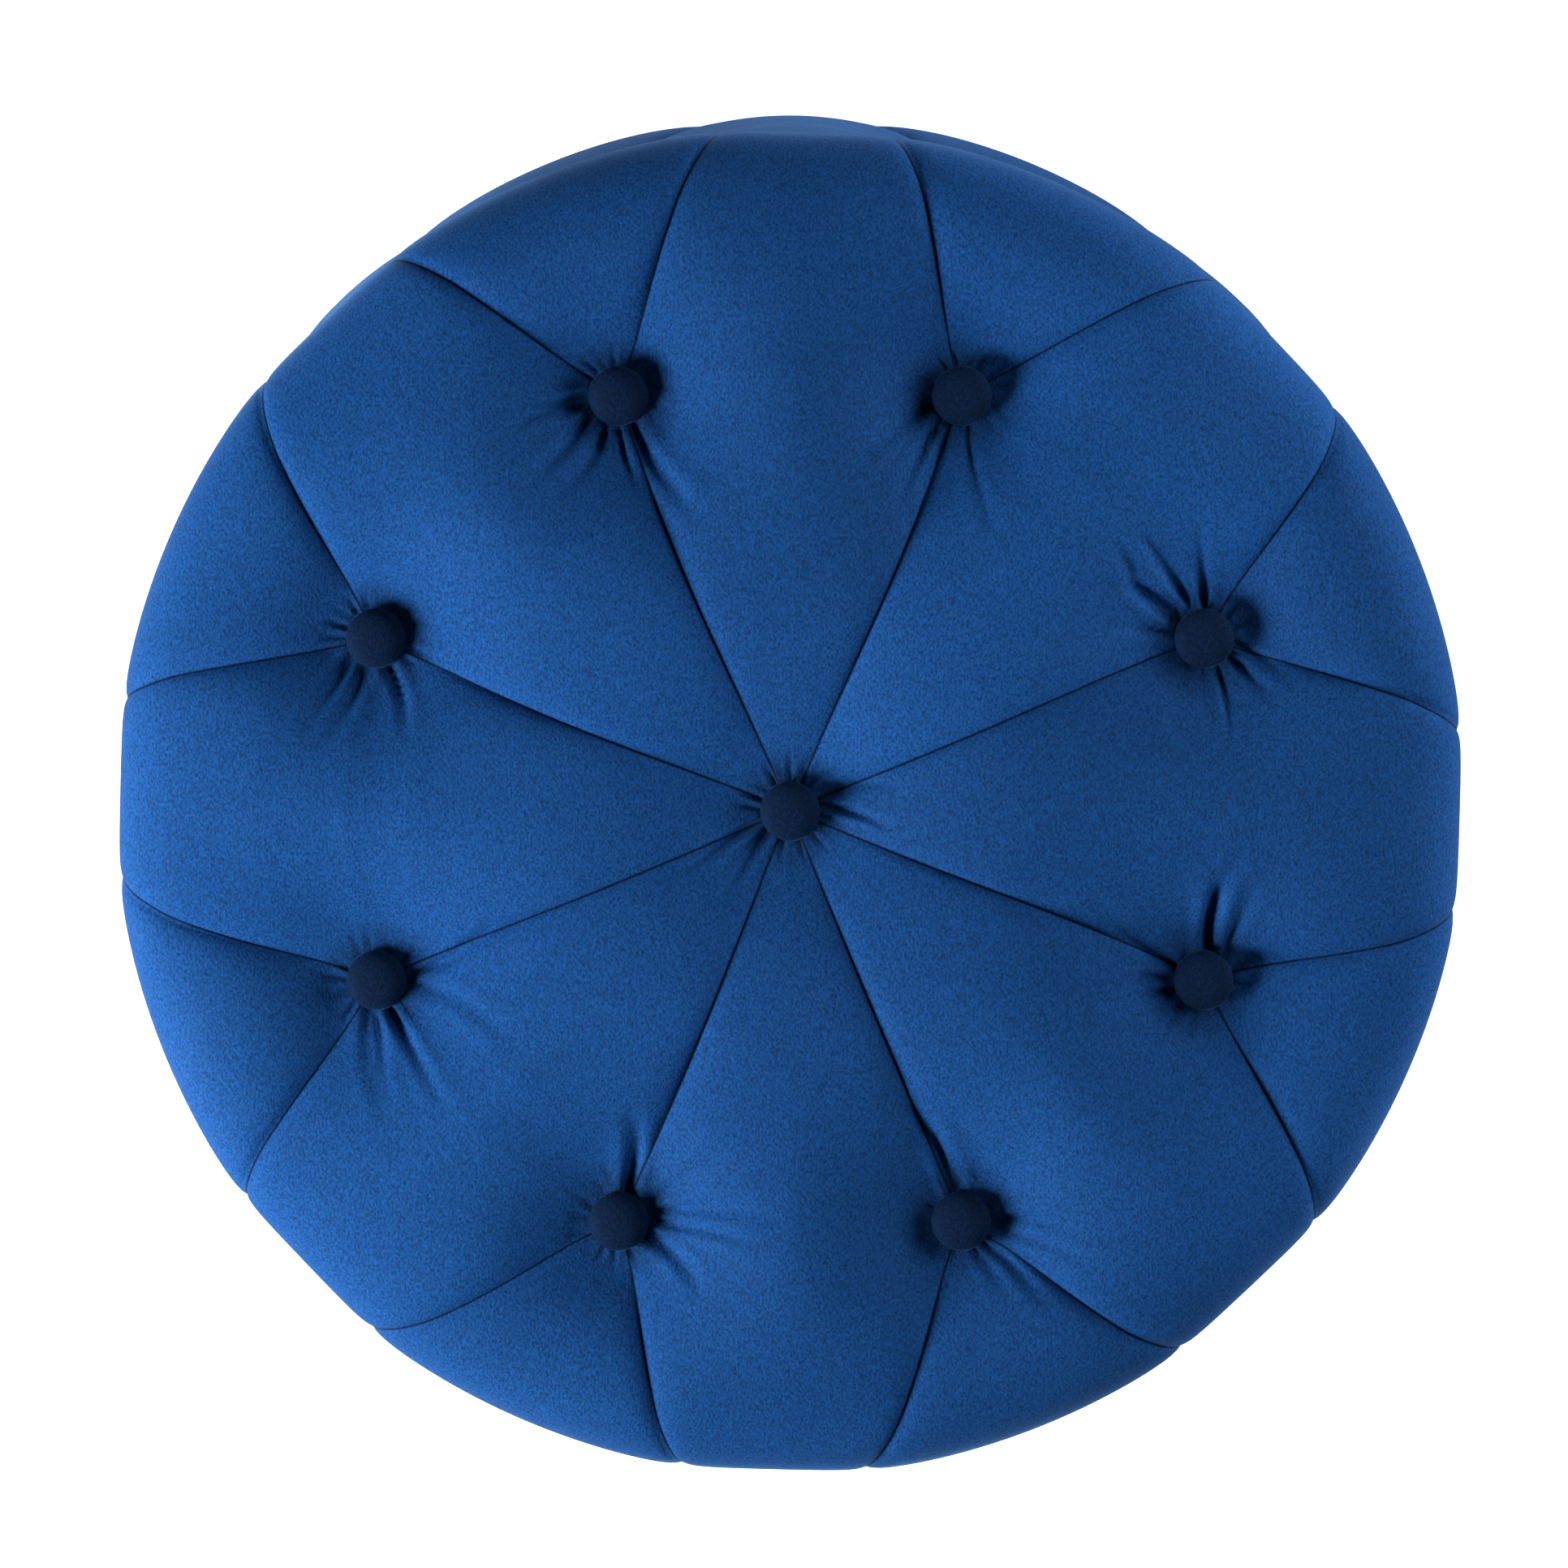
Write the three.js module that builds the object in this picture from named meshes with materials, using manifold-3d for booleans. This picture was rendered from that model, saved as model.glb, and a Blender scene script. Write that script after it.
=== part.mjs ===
// A round button-tufted storage ottoman: a padded drum on four feet, with a hinged padded lid.
// Millimetres, +Z up. The origin is on the floor under the drum's centre, and the hinges are at +Y.

import * as THREE from "three";
import { mergeVertices } from "three/addons/utils/BufferGeometryUtils.js";
import Module from "manifold-3d";

const wasm = await Module();
wasm.setup();

// ---- Driving dimensions -------------------------------------------------------------------------

// Over the drum's fullest panels, and from the floor to the lid's crown before its buttons draw it down.
const overall = { radius: 270, height: 436 };
const gap = 0.3; // between pieces that touch
const velvet = 1.2; // thickness of the outer cover
const cloth = 0.8; // thickness of the lining and the dust cover

const tufting = {
  panels: 8, // buttons in a ring, and kite-shaped panels between them
  joinHalfAngle: 4.5, // degrees from a kite's middle to its seams, where lid and drum meet
  flatRadius: 14, // the flat bottom of a button's hollow
  reach: 34, // how far a button's pull spreads past that flat
  fullWidth: 125, // a panel at least this wide swells to the cushion's full outline
};

const lidPad = {
  height: 112, // hem to crown
  overhang: 2, // fullest radius beyond the drum's
  sideHeight: 45, // hem to the fullest level
  edgeInset: 18, // how far the hem's edge is drawn in from the drum's fullest radius
  squareness: 2.8, // exponent of the crown's outline: 2 is an ellipse
  ringRadius: 179, // circle of the outer buttons
  rimSeamAngle: 13.6, // degrees from a button to its two seams, at the fullest level
  seamBend: 0.72, // exponent of those seams' sweep away from the button
  seamDepth: 8,
  buttonDepth: 30,
};

const drumPad = {
  thickness: 32, // drum wall to fullest radius
  edgeInset: 18,
  squareness: 3,
  seamBend: 0.8,
  seamDepth: 7,
  underButton: 8, // pad left between a button and the drum wall
};

const drumWall = { thickness: 3 };
const batten = { width: 30, depth: 18 };
const linerBoard = { thickness: 2 };
const topRing = { thickness: 12 };
const baseBoard = { thickness: 15 };
const lidBoard = { thickness: 12, foamWrap: 12 }; // its edge is set in from the hem's by the wrapped foam
const hem = { width: 35, overlap: 10 }; // velvet turned under the boards, and the cloth's lap over it
const lipSetback = 2; // the cover's top lip stops this far outside the ring's bore

const button = { radius: 12, thickness: 7, seatClearance: 1.5, shankRadius: 1.6, shankLength: 10 };
const twineHole = { radius: 2.2 };

const foot = { height: 30, topRadius: 25, floorRadius: 19, circleRadius: 165, count: 4 };
const footBolt = { radius: 4, inFoot: 20 };
const boltClearance = 0.4;
const tNut = { barrelWall: 1.3, barrelLength: 10, flangeRadius: 11, flangeThickness: 1.5 };

const hinge = {
  spacing: 90, // between the two hinges' middles
  width: 40,
  length: 45, // pin axis to the leaf's inner edge
  leaf: 1.2,
  barrelRadius: 3.5,
  pinRadius: 1.7,
  pinHeadRadius: 2.6,
  pinHead: 1.2,
  knuckleWidth: 13,
  leafClearance: 0.5, // between a leaf's plate and the other leaf's knuckles
  coverClearance: 0.6, // between the barrel and the covers
  screwHoleRadius: 2.1,
};

// ---- Places worked out from them ----------------------------------------------------------------

const ROUND = 48; // facets of a large circle
const WEDGE_COLUMNS = 4; // columns of lattice across the panel that opens from a button

const panelAngle = 360 / tufting.panels;
const wedgeEndAngle = panelAngle / 2 - tufting.joinHalfAngle;
const radians = THREE.MathUtils.degToRad;

const dustZ = foot.height + gap;
const hemZ = dustZ + cloth + gap;
const boardZ = hemZ + velvet + gap;
const boardTop = boardZ + baseBoard.thickness;
const lidZ = overall.height - lidPad.height;
const partingGap = 2 * hinge.leaf + 3 * gap;
const drumTop = lidZ - partingGap;
const ringTop = drumTop - velvet - gap;
const ringZ = ringTop - topRing.thickness;
const lidBoardZ = lidZ + velvet + gap;
const lidBoardTop = lidBoardZ + lidBoard.thickness;

const wallOuter = overall.radius - drumPad.thickness;
drumPad.buttonDepth = drumPad.thickness - drumPad.underButton;
const boardRadius = wallOuter - drumWall.thickness - gap;
const facetShare = Math.cos(Math.PI / ROUND); // a facet's middle against its corners
const battenOuter = Math.sqrt((boardRadius * facetShare) ** 2 - (batten.width / 2) ** 2) - gap;
const battenInner = battenOuter - batten.depth;
const linerOuter = battenInner - gap;
const linerInner = linerOuter - linerBoard.thickness;
const liningOuter = linerInner - gap;
const liningInner = liningOuter - cloth;

// ---- Solids and booleans ------------------------------------------------------------------------

function toSolid(geometry) {
  const bare = geometry.clone();
  bare.deleteAttribute("normal");
  bare.deleteAttribute("uv");
  const merged = mergeVertices(bare, 1e-4);
  return new wasm.Manifold(
    new wasm.Mesh({
      numProp: 3,
      vertProperties: merged.attributes.position.array,
      triVerts: new Uint32Array(merged.index.array),
    }),
  );
}

function toGeometry(solid) {
  const mesh = solid.getMesh();
  const geometry = new THREE.BufferGeometry();
  geometry.setAttribute("position", new THREE.BufferAttribute(mesh.vertProperties, 3));
  geometry.setIndex(new THREE.BufferAttribute(mesh.triVerts, 1));
  geometry.computeVertexNormals();
  return geometry;
}

const cutFrom = (geometry, tools) =>
  toGeometry(tools.reduce((solid, tool) => solid.subtract(toSolid(tool)), toSolid(geometry)));

const joined = (geometries) =>
  toGeometry(geometries.map(toSolid).reduce((all, next) => all.add(next)));

// A solid of revolution about +Z from its (radius, z) outline.
function turned(outline, facets = ROUND) {
  const points = outline.map(([r, z]) => new THREE.Vector2(r, z));
  return new THREE.LatheGeometry(points, facets).rotateX(Math.PI / 2);
}

const tube = (inner, outer, z, top) =>
  turned([[inner, z], [outer, z], [outer, top], [inner, top], [inner, z]]);

const disc = (radius, z, top, facets) => turned([[0, z], [radius, z], [radius, top], [0, top]], facets);

// A cylinder along +X, for the hinge barrels and pins.
const rod = (radius, length) => new THREE.CylinderGeometry(radius, radius, length, 12).rotateZ(-Math.PI / 2);

// The signed volume under a triangle list, positive when the faces point out.
function volumeOf(points, triangles) {
  let six = 0;
  for (const [a, b, c] of triangles) six += points[a].dot(points[b].clone().cross(points[c]));
  return six / 6;
}

// A closed surface through rings of points, all of the same length. A ring drawn together to one point
// closes an end; with `loops` the last ring joins the first instead. Each quad is folded to bulge away
// from `heart`, so that skins of one cushion at different depths fold alike and stay apart.
function loft(rings, heart, loops = false) {
  const count = rings[0].length;
  const points = rings.flat();
  const triangles = [];
  const apart = (a, b) => points[a].distanceTo(points[b]) > 1e-6;
  const add = (a, b, c) => apart(a, b) && apart(b, c) && apart(c, a) && triangles.push([a, b, c]);
  const foldAt = (a, b) => points[a].clone().lerp(points[b], 0.5).distanceTo(heart);
  const last = loops ? rings.length : rings.length - 1;
  for (let i = 0; i < last; i++) {
    for (let j = 0; j < count; j++) {
      const next = (j + 1) % count;
      const row = ((i + 1) % rings.length) * count;
      const quad = [i * count + j, i * count + next, row + next, row + j];
      if (foldAt(quad[0], quad[2]) < foldAt(quad[1], quad[3])) quad.push(quad.shift());
      add(quad[0], quad[1], quad[2]);
      add(quad[0], quad[2], quad[3]);
    }
  }
  if (volumeOf(points, triangles) < 0) triangles.forEach((triangle) => triangle.reverse());
  const geometry = new THREE.BufferGeometry().setFromPoints(points);
  geometry.setIndex(triangles.flat());
  geometry.computeVertexNormals();
  return geometry;
}

// ---- Tufted upholstery --------------------------------------------------------------------------

const buttonAngles = Array.from({ length: tufting.panels }, (_, k) => (k + 0.5) * panelAngle);

const onRing = (angle, r, z) =>
  new THREE.Vector3(r * Math.cos(radians(angle)), r * Math.sin(radians(angle)), z);

// The lattice columns of one ring: the kites between the buttons, and from each button a wedge, which
// opens `spread` degrees to either side of it. Each column has its angle, and `across`, which is 0 in a
// panel's middle and -1 or 1 on its seams.
function columnsAt(spread, nearSeam) {
  const columns = [];
  const kiteHalf = panelAngle / 2 - spread;
  for (const buttonAngle of buttonAngles) {
    for (let j = 0; j < WEDGE_COLUMNS; j++) {
      const across = (2 * j) / WEDGE_COLUMNS - 1;
      columns.push({ angle: buttonAngle + across * spread, across, halfAngle: spread });
    }
    for (const across of [-1, -nearSeam, 0, nearSeam]) {
      const angle = buttonAngle + panelAngle / 2 + across * kiteHalf;
      columns.push({ angle, across, halfAngle: kiteHalf });
    }
  }
  return columns;
}

// How far the cover is drawn in at a column of a ring: fully at a button, by the seam's depth on a
// seam, and less in a panel the wider that panel is.
function drawnIn(column, radius, fromButton, pad) {
  const width = 2 * radians(column.halfAngle) * radius;
  const swell = (1 - Math.abs(column.across) ** 2.5) * Math.min(1, width / tufting.fullWidth) ** 3;
  const seam = pad.seamDepth * (1 - swell);
  const past = Math.max(0, fromButton - tufting.flatRadius) / tufting.reach;
  return seam + (pad.buttonDepth - seam) * Math.exp(-past * past);
}

const plainRing = (columns, r, z) => columns.map(({ angle }) => onRing(angle, r, z));

// One ring of a tufted surface, `deep` inside the cover's face. `outline` gives the untufted cushion's
// (radius, z) at a level, `buttons` are the button places on that outline.
function tuftedRing(outline, level, columns, pad, buttons, deep) {
  const here = outline(level);
  const step = 1e-3;
  const tangent = outline(level + step).sub(outline(level - step)).normalize();
  const inward = new THREE.Vector2(tangent.y, -tangent.x);
  return columns.map((column) => {
    const point = onRing(column.angle, here.x, here.y);
    const fromButton = Math.min(...buttons.map((place) => place.distanceTo(point)));
    const depth = drawnIn(column, here.x, fromButton, pad) + deep;
    return onRing(column.angle, here.x + inward.x * depth, here.y + inward.y * depth);
  });
}

// ---- Lid pad ------------------------------------------------------------------------------------

const lidFullRadius = overall.radius + lidPad.overhang;
const lidEdgeRadius = overall.radius - lidPad.edgeInset;
const lidFullZ = lidZ + lidPad.sideHeight;
const lidBoardRadius = lidEdgeRadius - lidBoard.foamWrap;

// The untufted lid cushion: level 0 at the crown's centre, 1 at its fullest, 2 at the hem's edge.
function lidOutline(level) {
  const turn = (level * Math.PI) / 2;
  const power = 2 / lidPad.squareness;
  if (level <= 1) {
    const r = lidFullRadius * Math.sign(turn) * Math.abs(Math.sin(turn)) ** power;
    return new THREE.Vector2(r, lidFullZ + (overall.height - lidFullZ) * Math.cos(turn) ** power);
  }
  const r = lidEdgeRadius + (lidFullRadius - lidEdgeRadius) * Math.sin(turn);
  return new THREE.Vector2(r, lidFullZ + lidPad.sideHeight * Math.cos(turn));
}

const lidLevelOf = (radius) =>
  (2 / Math.PI) * Math.asin((radius / lidFullRadius) ** (lidPad.squareness / 2));

const ringLevel = lidLevelOf(lidPad.ringRadius);
function lidSpread(level) {
  if (level > 1) return THREE.MathUtils.lerp(lidPad.rimSeamAngle, wedgeEndAngle, level - 1);
  const pastButtons = Math.max(0, lidOutline(level).x - lidPad.ringRadius);
  return lidPad.rimSeamAngle * (pastButtons / (lidFullRadius - lidPad.ringRadius)) ** lidPad.seamBend;
}

const lidButtonHeight = lidOutline(ringLevel).y;
const lidButtons = [
  new THREE.Vector3(0, 0, overall.height),
  ...buttonAngles.map((angle) => onRing(angle, lidPad.ringRadius, lidButtonHeight)),
];

const lidNearSeam = 1 - tufting.flatRadius / (radians(panelAngle / 2) * lidPad.ringRadius);
const lidLevels = [
  lidLevelOf(tufting.flatRadius),
  lidLevelOf(lidPad.ringRadius / 2),
  lidLevelOf(lidPad.ringRadius - tufting.flatRadius),
  ringLevel,
  lidLevelOf(lidPad.ringRadius + tufting.flatRadius),
  ...[0.65, 0.82, 1, 1.5],
];

const lidColumns = (level) => columnsAt(lidSpread(level), lidNearSeam);
const lidRings = (deep) =>
  lidLevels.map((level) => tuftedRing(lidOutline, level, lidColumns(level), lidPad, lidButtons, deep));

const lidEdgeColumns = lidColumns(2);
const lidCentre = (deep) => plainRing(lidEdgeColumns, 0, overall.height - lidPad.buttonDepth - deep);
const lidHeart = new THREE.Vector3(0, 0, lidFullZ);
// A lattice facet's middle lies this much nearer the axis than its corners.
const latticeShare = Math.cos(radians(wedgeEndAngle / WEDGE_COLUMNS));

// ---- Drum pad -----------------------------------------------------------------------------------

const drumEdgeRadius = overall.radius - drumPad.edgeInset;
const drumMiddleZ = (drumTop + hemZ) / 2;
const drumHalfHeight = (drumTop - hemZ) / 2;

// The untufted drum cushion: level -1 at its top edge, 0 at the buttons and 1 at the hem below.
function drumOutline(level) {
  const turn = (level * Math.PI) / 2;
  const power = 2 / drumPad.squareness;
  const drop = Math.sign(turn) * Math.abs(Math.sin(turn)) ** power;
  const r = drumEdgeRadius + drumPad.edgeInset * Math.abs(Math.cos(turn)) ** power;
  return new THREE.Vector2(r, drumMiddleZ - drumHalfHeight * drop);
}

const drumLevelOf = (height) =>
  (2 / Math.PI) * Math.asin((height / drumHalfHeight) ** (drumPad.squareness / 2));

const drumSpread = (level) => {
  const height = Math.abs(drumOutline(level).y - drumMiddleZ) / drumHalfHeight;
  return wedgeEndAngle * height ** drumPad.seamBend;
};

const drumNearSeam = 1 - tufting.flatRadius / (radians(panelAngle / 2) * overall.radius);
const drumButtons = buttonAngles.map((angle) => onRing(angle, overall.radius, drumMiddleZ));
const lowerHeights = [tufting.flatRadius, drumHalfHeight / 2, 0.85 * drumHalfHeight];
const lowerLevels = lowerHeights.map(drumLevelOf);
const drumLevels = [...lowerLevels.map((level) => -level).toReversed(), 0, ...lowerLevels];

const drumColumns = (level) => columnsAt(drumSpread(level), drumNearSeam);
const drumRings = (deep) =>
  drumLevels.map((level) => tuftedRing(drumOutline, level, drumColumns(level), drumPad, drumButtons, deep));
const drumEdgeColumns = drumColumns(1);
const drumHeart = new THREE.Vector3(0, 0, drumMiddleZ);

// ---- Materials ----------------------------------------------------------------------------------

const material = (color, roughness, metalness = 0) =>
  new THREE.MeshStandardMaterial({ color, roughness, metalness });

const blueVelvet = material(0x1c4c86, 0.9);
const paleFoam = material(0xe8dfb8, 0.95);
const plywood = material(0xcaa87a, 0.7);
const hardboard = material(0x7a5a3c, 0.8);
const pine = material(0xd9b98a, 0.75);
const greyBoard = material(0x9a948a, 0.9);
const blackCloth = material(0x16161a, 0.95);
const blackPlastic = material(0x101012, 0.45);
const zincSteel = material(0xb4b6b8, 0.35, 1);

const ottoman = new THREE.Group();
const lid = new THREE.Group();
ottoman.add(lid);

function place(group, name, geometry, finish) {
  const mesh = new THREE.Mesh(geometry, finish);
  mesh.name = name;
  group.add(mesh);
  return mesh;
}

// ---- Feet, bolts and T-nuts ---------------------------------------------------------------------

const boltHoleRadius = footBolt.radius + boltClearance;
const footAngles = Array.from({ length: foot.count }, (_, k) => (360 / foot.count) * (k + 0.5));

function footShape() {
  const floorOfHole = foot.height - footBolt.inFoot;
  return turned(
    [
      [0, 0],
      [foot.floorRadius, 0],
      [foot.topRadius, foot.height],
      [boltHoleRadius, foot.height],
      [boltHoleRadius, floorOfHole],
      [0, floorOfHole],
    ],
    16,
  );
}

function tNutShape() {
  const flangeZ = boardTop - gap - tNut.flangeThickness;
  const barrel = boltHoleRadius + tNut.barrelWall;
  return turned(
    [
      [boltHoleRadius, flangeZ + tNut.flangeThickness - tNut.barrelLength],
      [barrel, flangeZ + tNut.flangeThickness - tNut.barrelLength],
      [barrel, flangeZ],
      [tNut.flangeRadius, flangeZ],
      [tNut.flangeRadius, flangeZ + tNut.flangeThickness],
      [boltHoleRadius, flangeZ + tNut.flangeThickness],
      [boltHoleRadius, flangeZ + tNut.flangeThickness - tNut.barrelLength],
    ],
    12,
  );
}

const footPlace = (angle) => onRing(angle, foot.circleRadius, 0);
footAngles.forEach((angle, k) => {
  const { x, y } = footPlace(angle);
  const boltZ = foot.height - footBolt.inFoot + gap;
  const bolt = disc(footBolt.radius, boltZ, boardTop - gap, 12);
  place(ottoman, `foot_${k + 1}`, footShape(), blackPlastic).position.set(x, y, 0);
  place(ottoman, `foot_bolt_${k + 1}`, bolt, zincSteel).position.set(x, y, 0);
  place(ottoman, `t_nut_${k + 1}`, tNutShape(), zincSteel).position.set(x, y, 0);
});

const atEachFoot = (makeTool) =>
  footAngles.map((angle) => {
    const { x, y } = footPlace(angle);
    return makeTool().translate(x, y, 0);
  });

// ---- Drum carcass -------------------------------------------------------------------------------

const tNutHoleRadius = boltHoleRadius + tNut.barrelWall + gap;
const tNutRecessZ = boardTop - tNut.flangeThickness - 2 * gap;
const tNutRecess = () => disc(tNut.flangeRadius + gap, tNutRecessZ, boardTop + 1, 12);

place(
  ottoman,
  "base_board",
  cutFrom(disc(boardRadius, boardZ, boardTop), [
    ...atEachFoot(() => disc(tNutHoleRadius, boardZ - 1, boardTop + 1, 12)),
    ...atEachFoot(tNutRecess),
  ]),
  plywood,
);

place(
  ottoman,
  "dust_cover",
  cutFrom(
    disc(drumEdgeRadius - hem.width + hem.overlap, dustZ, dustZ + cloth),
    atEachFoot(() => disc(boltHoleRadius, dustZ - 1, dustZ + cloth + 1, 12)),
  ),
  blackCloth,
);

const sideTwineHoles = buttonAngles.map((angle) =>
  disc(twineHole.radius, wallOuter - 2 * drumWall.thickness, overall.radius, 6)
    .rotateY(Math.PI / 2)
    .rotateZ(radians(angle))
    .translate(0, 0, drumMiddleZ),
);

place(
  ottoman,
  "drum_wall",
  cutFrom(tube(wallOuter - drumWall.thickness, wallOuter, boardZ, ringTop), sideTwineHoles),
  hardboard,
);

// The top ring is sawn from offcuts in equal segments, whose ends butt over the middles of battens.
function ringSegment() {
  const width = 4 * overall.radius;
  const waste = () => new THREE.BoxGeometry(width, width, 2 * overall.height);
  return cutFrom(tube(linerInner, boardRadius, ringZ, ringTop), [
    waste().translate(0, (gap - width) / 2, 0),
    waste().translate((gap - width) / 2, 0, 0),
  ]);
}

for (let k = 0; k < 4; k++) {
  const segment = ringSegment().rotateZ((k * Math.PI) / 2);
  place(ottoman, `top_ring_${k + 1}`, segment, plywood);
}

place(ottoman, "liner_board", tube(linerInner, linerOuter, boardTop + gap, ringZ - gap), greyBoard);

for (let k = 0; k < tufting.panels; k++) {
  const height = ringZ - boardTop - 2 * gap;
  const shape = new THREE.BoxGeometry(batten.depth, batten.width, height);
  const mesh = place(ottoman, `batten_${k + 1}`, shape, pine);
  mesh.position.copy(onRing(k * panelAngle, (battenInner + battenOuter) / 2, boardTop + gap + height / 2));
  mesh.rotation.z = radians(k * panelAngle);
}

place(
  ottoman,
  "storage_lining",
  turned([
    [0, boardTop + gap],
    [liningOuter, boardTop + gap],
    [liningOuter, ringTop],
    [liningInner, ringTop],
    [liningInner, boardTop + gap + cloth],
    [0, boardTop + gap + cloth],
  ]),
  blackCloth,
);

// ---- Drum upholstery ----------------------------------------------------------------------------

const drumFoamBore = (wallOuter + gap) / latticeShare;
const foamDeep = velvet + gap;

place(
  ottoman,
  "drum_foam",
  cutFrom(
    loft(
      [
        plainRing(drumEdgeColumns, drumEdgeRadius, drumTop - foamDeep),
        ...drumRings(foamDeep),
        plainRing(drumEdgeColumns, drumEdgeRadius, hemZ + foamDeep),
        plainRing(drumEdgeColumns, drumFoamBore, hemZ + foamDeep),
        plainRing(drumEdgeColumns, drumFoamBore, drumTop - foamDeep),
      ],
      drumHeart,
      true,
    ),
    sideTwineHoles,
  ),
  paleFoam,
);

const lipRadius = linerInner + lipSetback;
const drumHemRadius = drumEdgeRadius - hem.width;
place(
  ottoman,
  "drum_cover",
  cutFrom(
    loft(
      [
        plainRing(drumEdgeColumns, lipRadius, drumTop),
        plainRing(drumEdgeColumns, drumEdgeRadius, drumTop),
        ...drumRings(0),
        plainRing(drumEdgeColumns, drumEdgeRadius, hemZ),
        plainRing(drumEdgeColumns, drumHemRadius, hemZ),
        plainRing(drumEdgeColumns, drumHemRadius, hemZ + velvet),
        plainRing(drumEdgeColumns, drumEdgeRadius, hemZ + velvet),
        ...drumRings(velvet).toReversed(),
        plainRing(drumEdgeColumns, drumEdgeRadius, drumTop - velvet),
        plainRing(drumEdgeColumns, lipRadius, drumTop - velvet),
      ],
      drumHeart,
      true,
    ),
    sideTwineHoles,
  ),
  blueVelvet,
);

// ---- Covered buttons ----------------------------------------------------------------------------

// A domed covered button on its shank, seated at z = 0 and facing +Z.
function buttonShape() {
  const { radius, thickness, seatClearance, shankRadius, shankLength } = button;
  return turned(
    [
      [0, -shankLength],
      [shankRadius, -shankLength],
      [shankRadius, seatClearance],
      [radius, seatClearance + 0.35 * thickness],
      [0.75 * radius, seatClearance + 0.85 * thickness],
      [0, seatClearance + thickness],
    ],
    10,
  );
}

buttonAngles.forEach((angle, k) => {
  const mesh = place(ottoman, `drum_button_${k + 1}`, buttonShape(), blueVelvet);
  mesh.position.copy(onRing(angle, overall.radius - drumPad.buttonDepth, drumMiddleZ));
  mesh.rotation.set(0, Math.PI / 2, radians(angle), "ZYX");
});

lidButtons.forEach((seat, k) => {
  const name = k === 0 ? "lid_button_centre" : `lid_button_${k}`;
  const mesh = place(lid, name, buttonShape(), blueVelvet);
  mesh.position.set(seat.x, seat.y, seat.z - lidPad.buttonDepth);
});

// ---- Hinges -------------------------------------------------------------------------------------

// The barrel stands just clear of both covers, in the groove between them.
const barrelDrop = hinge.barrelRadius - partingGap / 2;
const drumAtBarrel = drumOutline(drumLevelOf(drumHalfHeight - barrelDrop)).x;
const lidAtBarrel =
  lidEdgeRadius +
  (lidFullRadius - lidEdgeRadius) * Math.sqrt(1 - (1 - barrelDrop / lidPad.sideHeight) ** 2);
const pinY = Math.max(drumAtBarrel, lidAtBarrel) + hinge.barrelRadius + hinge.coverClearance;
const pinZ = drumTop + partingGap / 2;
const plateStart = hinge.barrelRadius + hinge.leafClearance;

// A leaf in its hinge's own frame: the pin runs along X through the origin and the leaf lies at -Y.
// `side` is 1 for the lid's leaf, above the pin's plane, and -1 for the drum's.
function leafShape(side, knuckleMiddles) {
  const { width, length, leaf, knuckleWidth, barrelRadius, pinRadius } = hinge;
  const z = side * (gap / 2 + leaf / 2);
  const plate = new THREE.BoxGeometry(width, length - plateStart, leaf);
  const pieces = [plate.translate(0, -(length + plateStart) / 2, z)];
  const neckLength = plateStart + 1; // laps 1 mm into the plate
  for (const middle of knuckleMiddles) {
    const neck = new THREE.BoxGeometry(knuckleWidth, neckLength, leaf);
    pieces.push(rod(barrelRadius, knuckleWidth).translate(middle, 0, 0));
    pieces.push(neck.translate(middle, -neckLength / 2, z));
  }
  const bore = rod(pinRadius + gap, width + 2);
  const screwHoles = [-width / 4, width / 4].map((x) =>
    new THREE.CylinderGeometry(hinge.screwHoleRadius, hinge.screwHoleRadius, 4 * leaf, 12)
      .rotateX(Math.PI / 2)
      .translate(x, -length + 3 * hinge.screwHoleRadius, z),
  );
  return cutFrom(joined(pieces), [bore, ...screwHoles]);
}

function pinShape() {
  const shaft = rod(hinge.pinRadius, hinge.width + 2 * gap);
  const end = hinge.width / 2 + gap + hinge.pinHead / 2;
  const heads = [-end, end].map((x) => rod(hinge.pinHeadRadius, hinge.pinHead).translate(x, 0, 0));
  return joined([shaft, ...heads]);
}

const outerKnuckle = (hinge.width - hinge.knuckleWidth) / 2;
for (const [side, x] of [["left", -hinge.spacing / 2], ["right", hinge.spacing / 2]]) {
  const drumLeaf = leafShape(-1, [-outerKnuckle, outerKnuckle]);
  place(ottoman, `hinge_${side}_drum_leaf`, drumLeaf, zincSteel).position.set(x, pinY, pinZ);
  place(ottoman, `hinge_${side}_pin`, pinShape(), zincSteel).position.set(x, pinY, pinZ);
  place(lid, `hinge_${side}_lid_leaf`, leafShape(1, [0]), zincSteel).position.set(x, pinY, pinZ);
}

// ---- Lid ----------------------------------------------------------------------------------------

const lidTwineHoles = (z, top) =>
  lidButtons.map((seat) => disc(twineHole.radius, z, top, 6).translate(seat.x, seat.y, 0));

place(
  lid,
  "lid_board",
  cutFrom(disc(lidBoardRadius, lidBoardZ, lidBoardTop), lidTwineHoles(lidBoardZ - 1, lidBoardTop + 1)),
  plywood,
);

const foamRecess = (lidBoardRadius + gap) / latticeShare;
place(
  lid,
  "lid_foam",
  cutFrom(
    loft(
      [
        lidCentre(foamDeep),
        ...lidRings(foamDeep),
        plainRing(lidEdgeColumns, lidEdgeRadius, lidBoardZ),
        plainRing(lidEdgeColumns, foamRecess, lidBoardZ),
        plainRing(lidEdgeColumns, foamRecess, lidBoardTop + gap),
        plainRing(lidEdgeColumns, 0, lidBoardTop + gap),
      ],
      lidHeart,
    ),
    lidTwineHoles(lidBoardTop - 1, overall.height),
  ),
  paleFoam,
);

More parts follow.
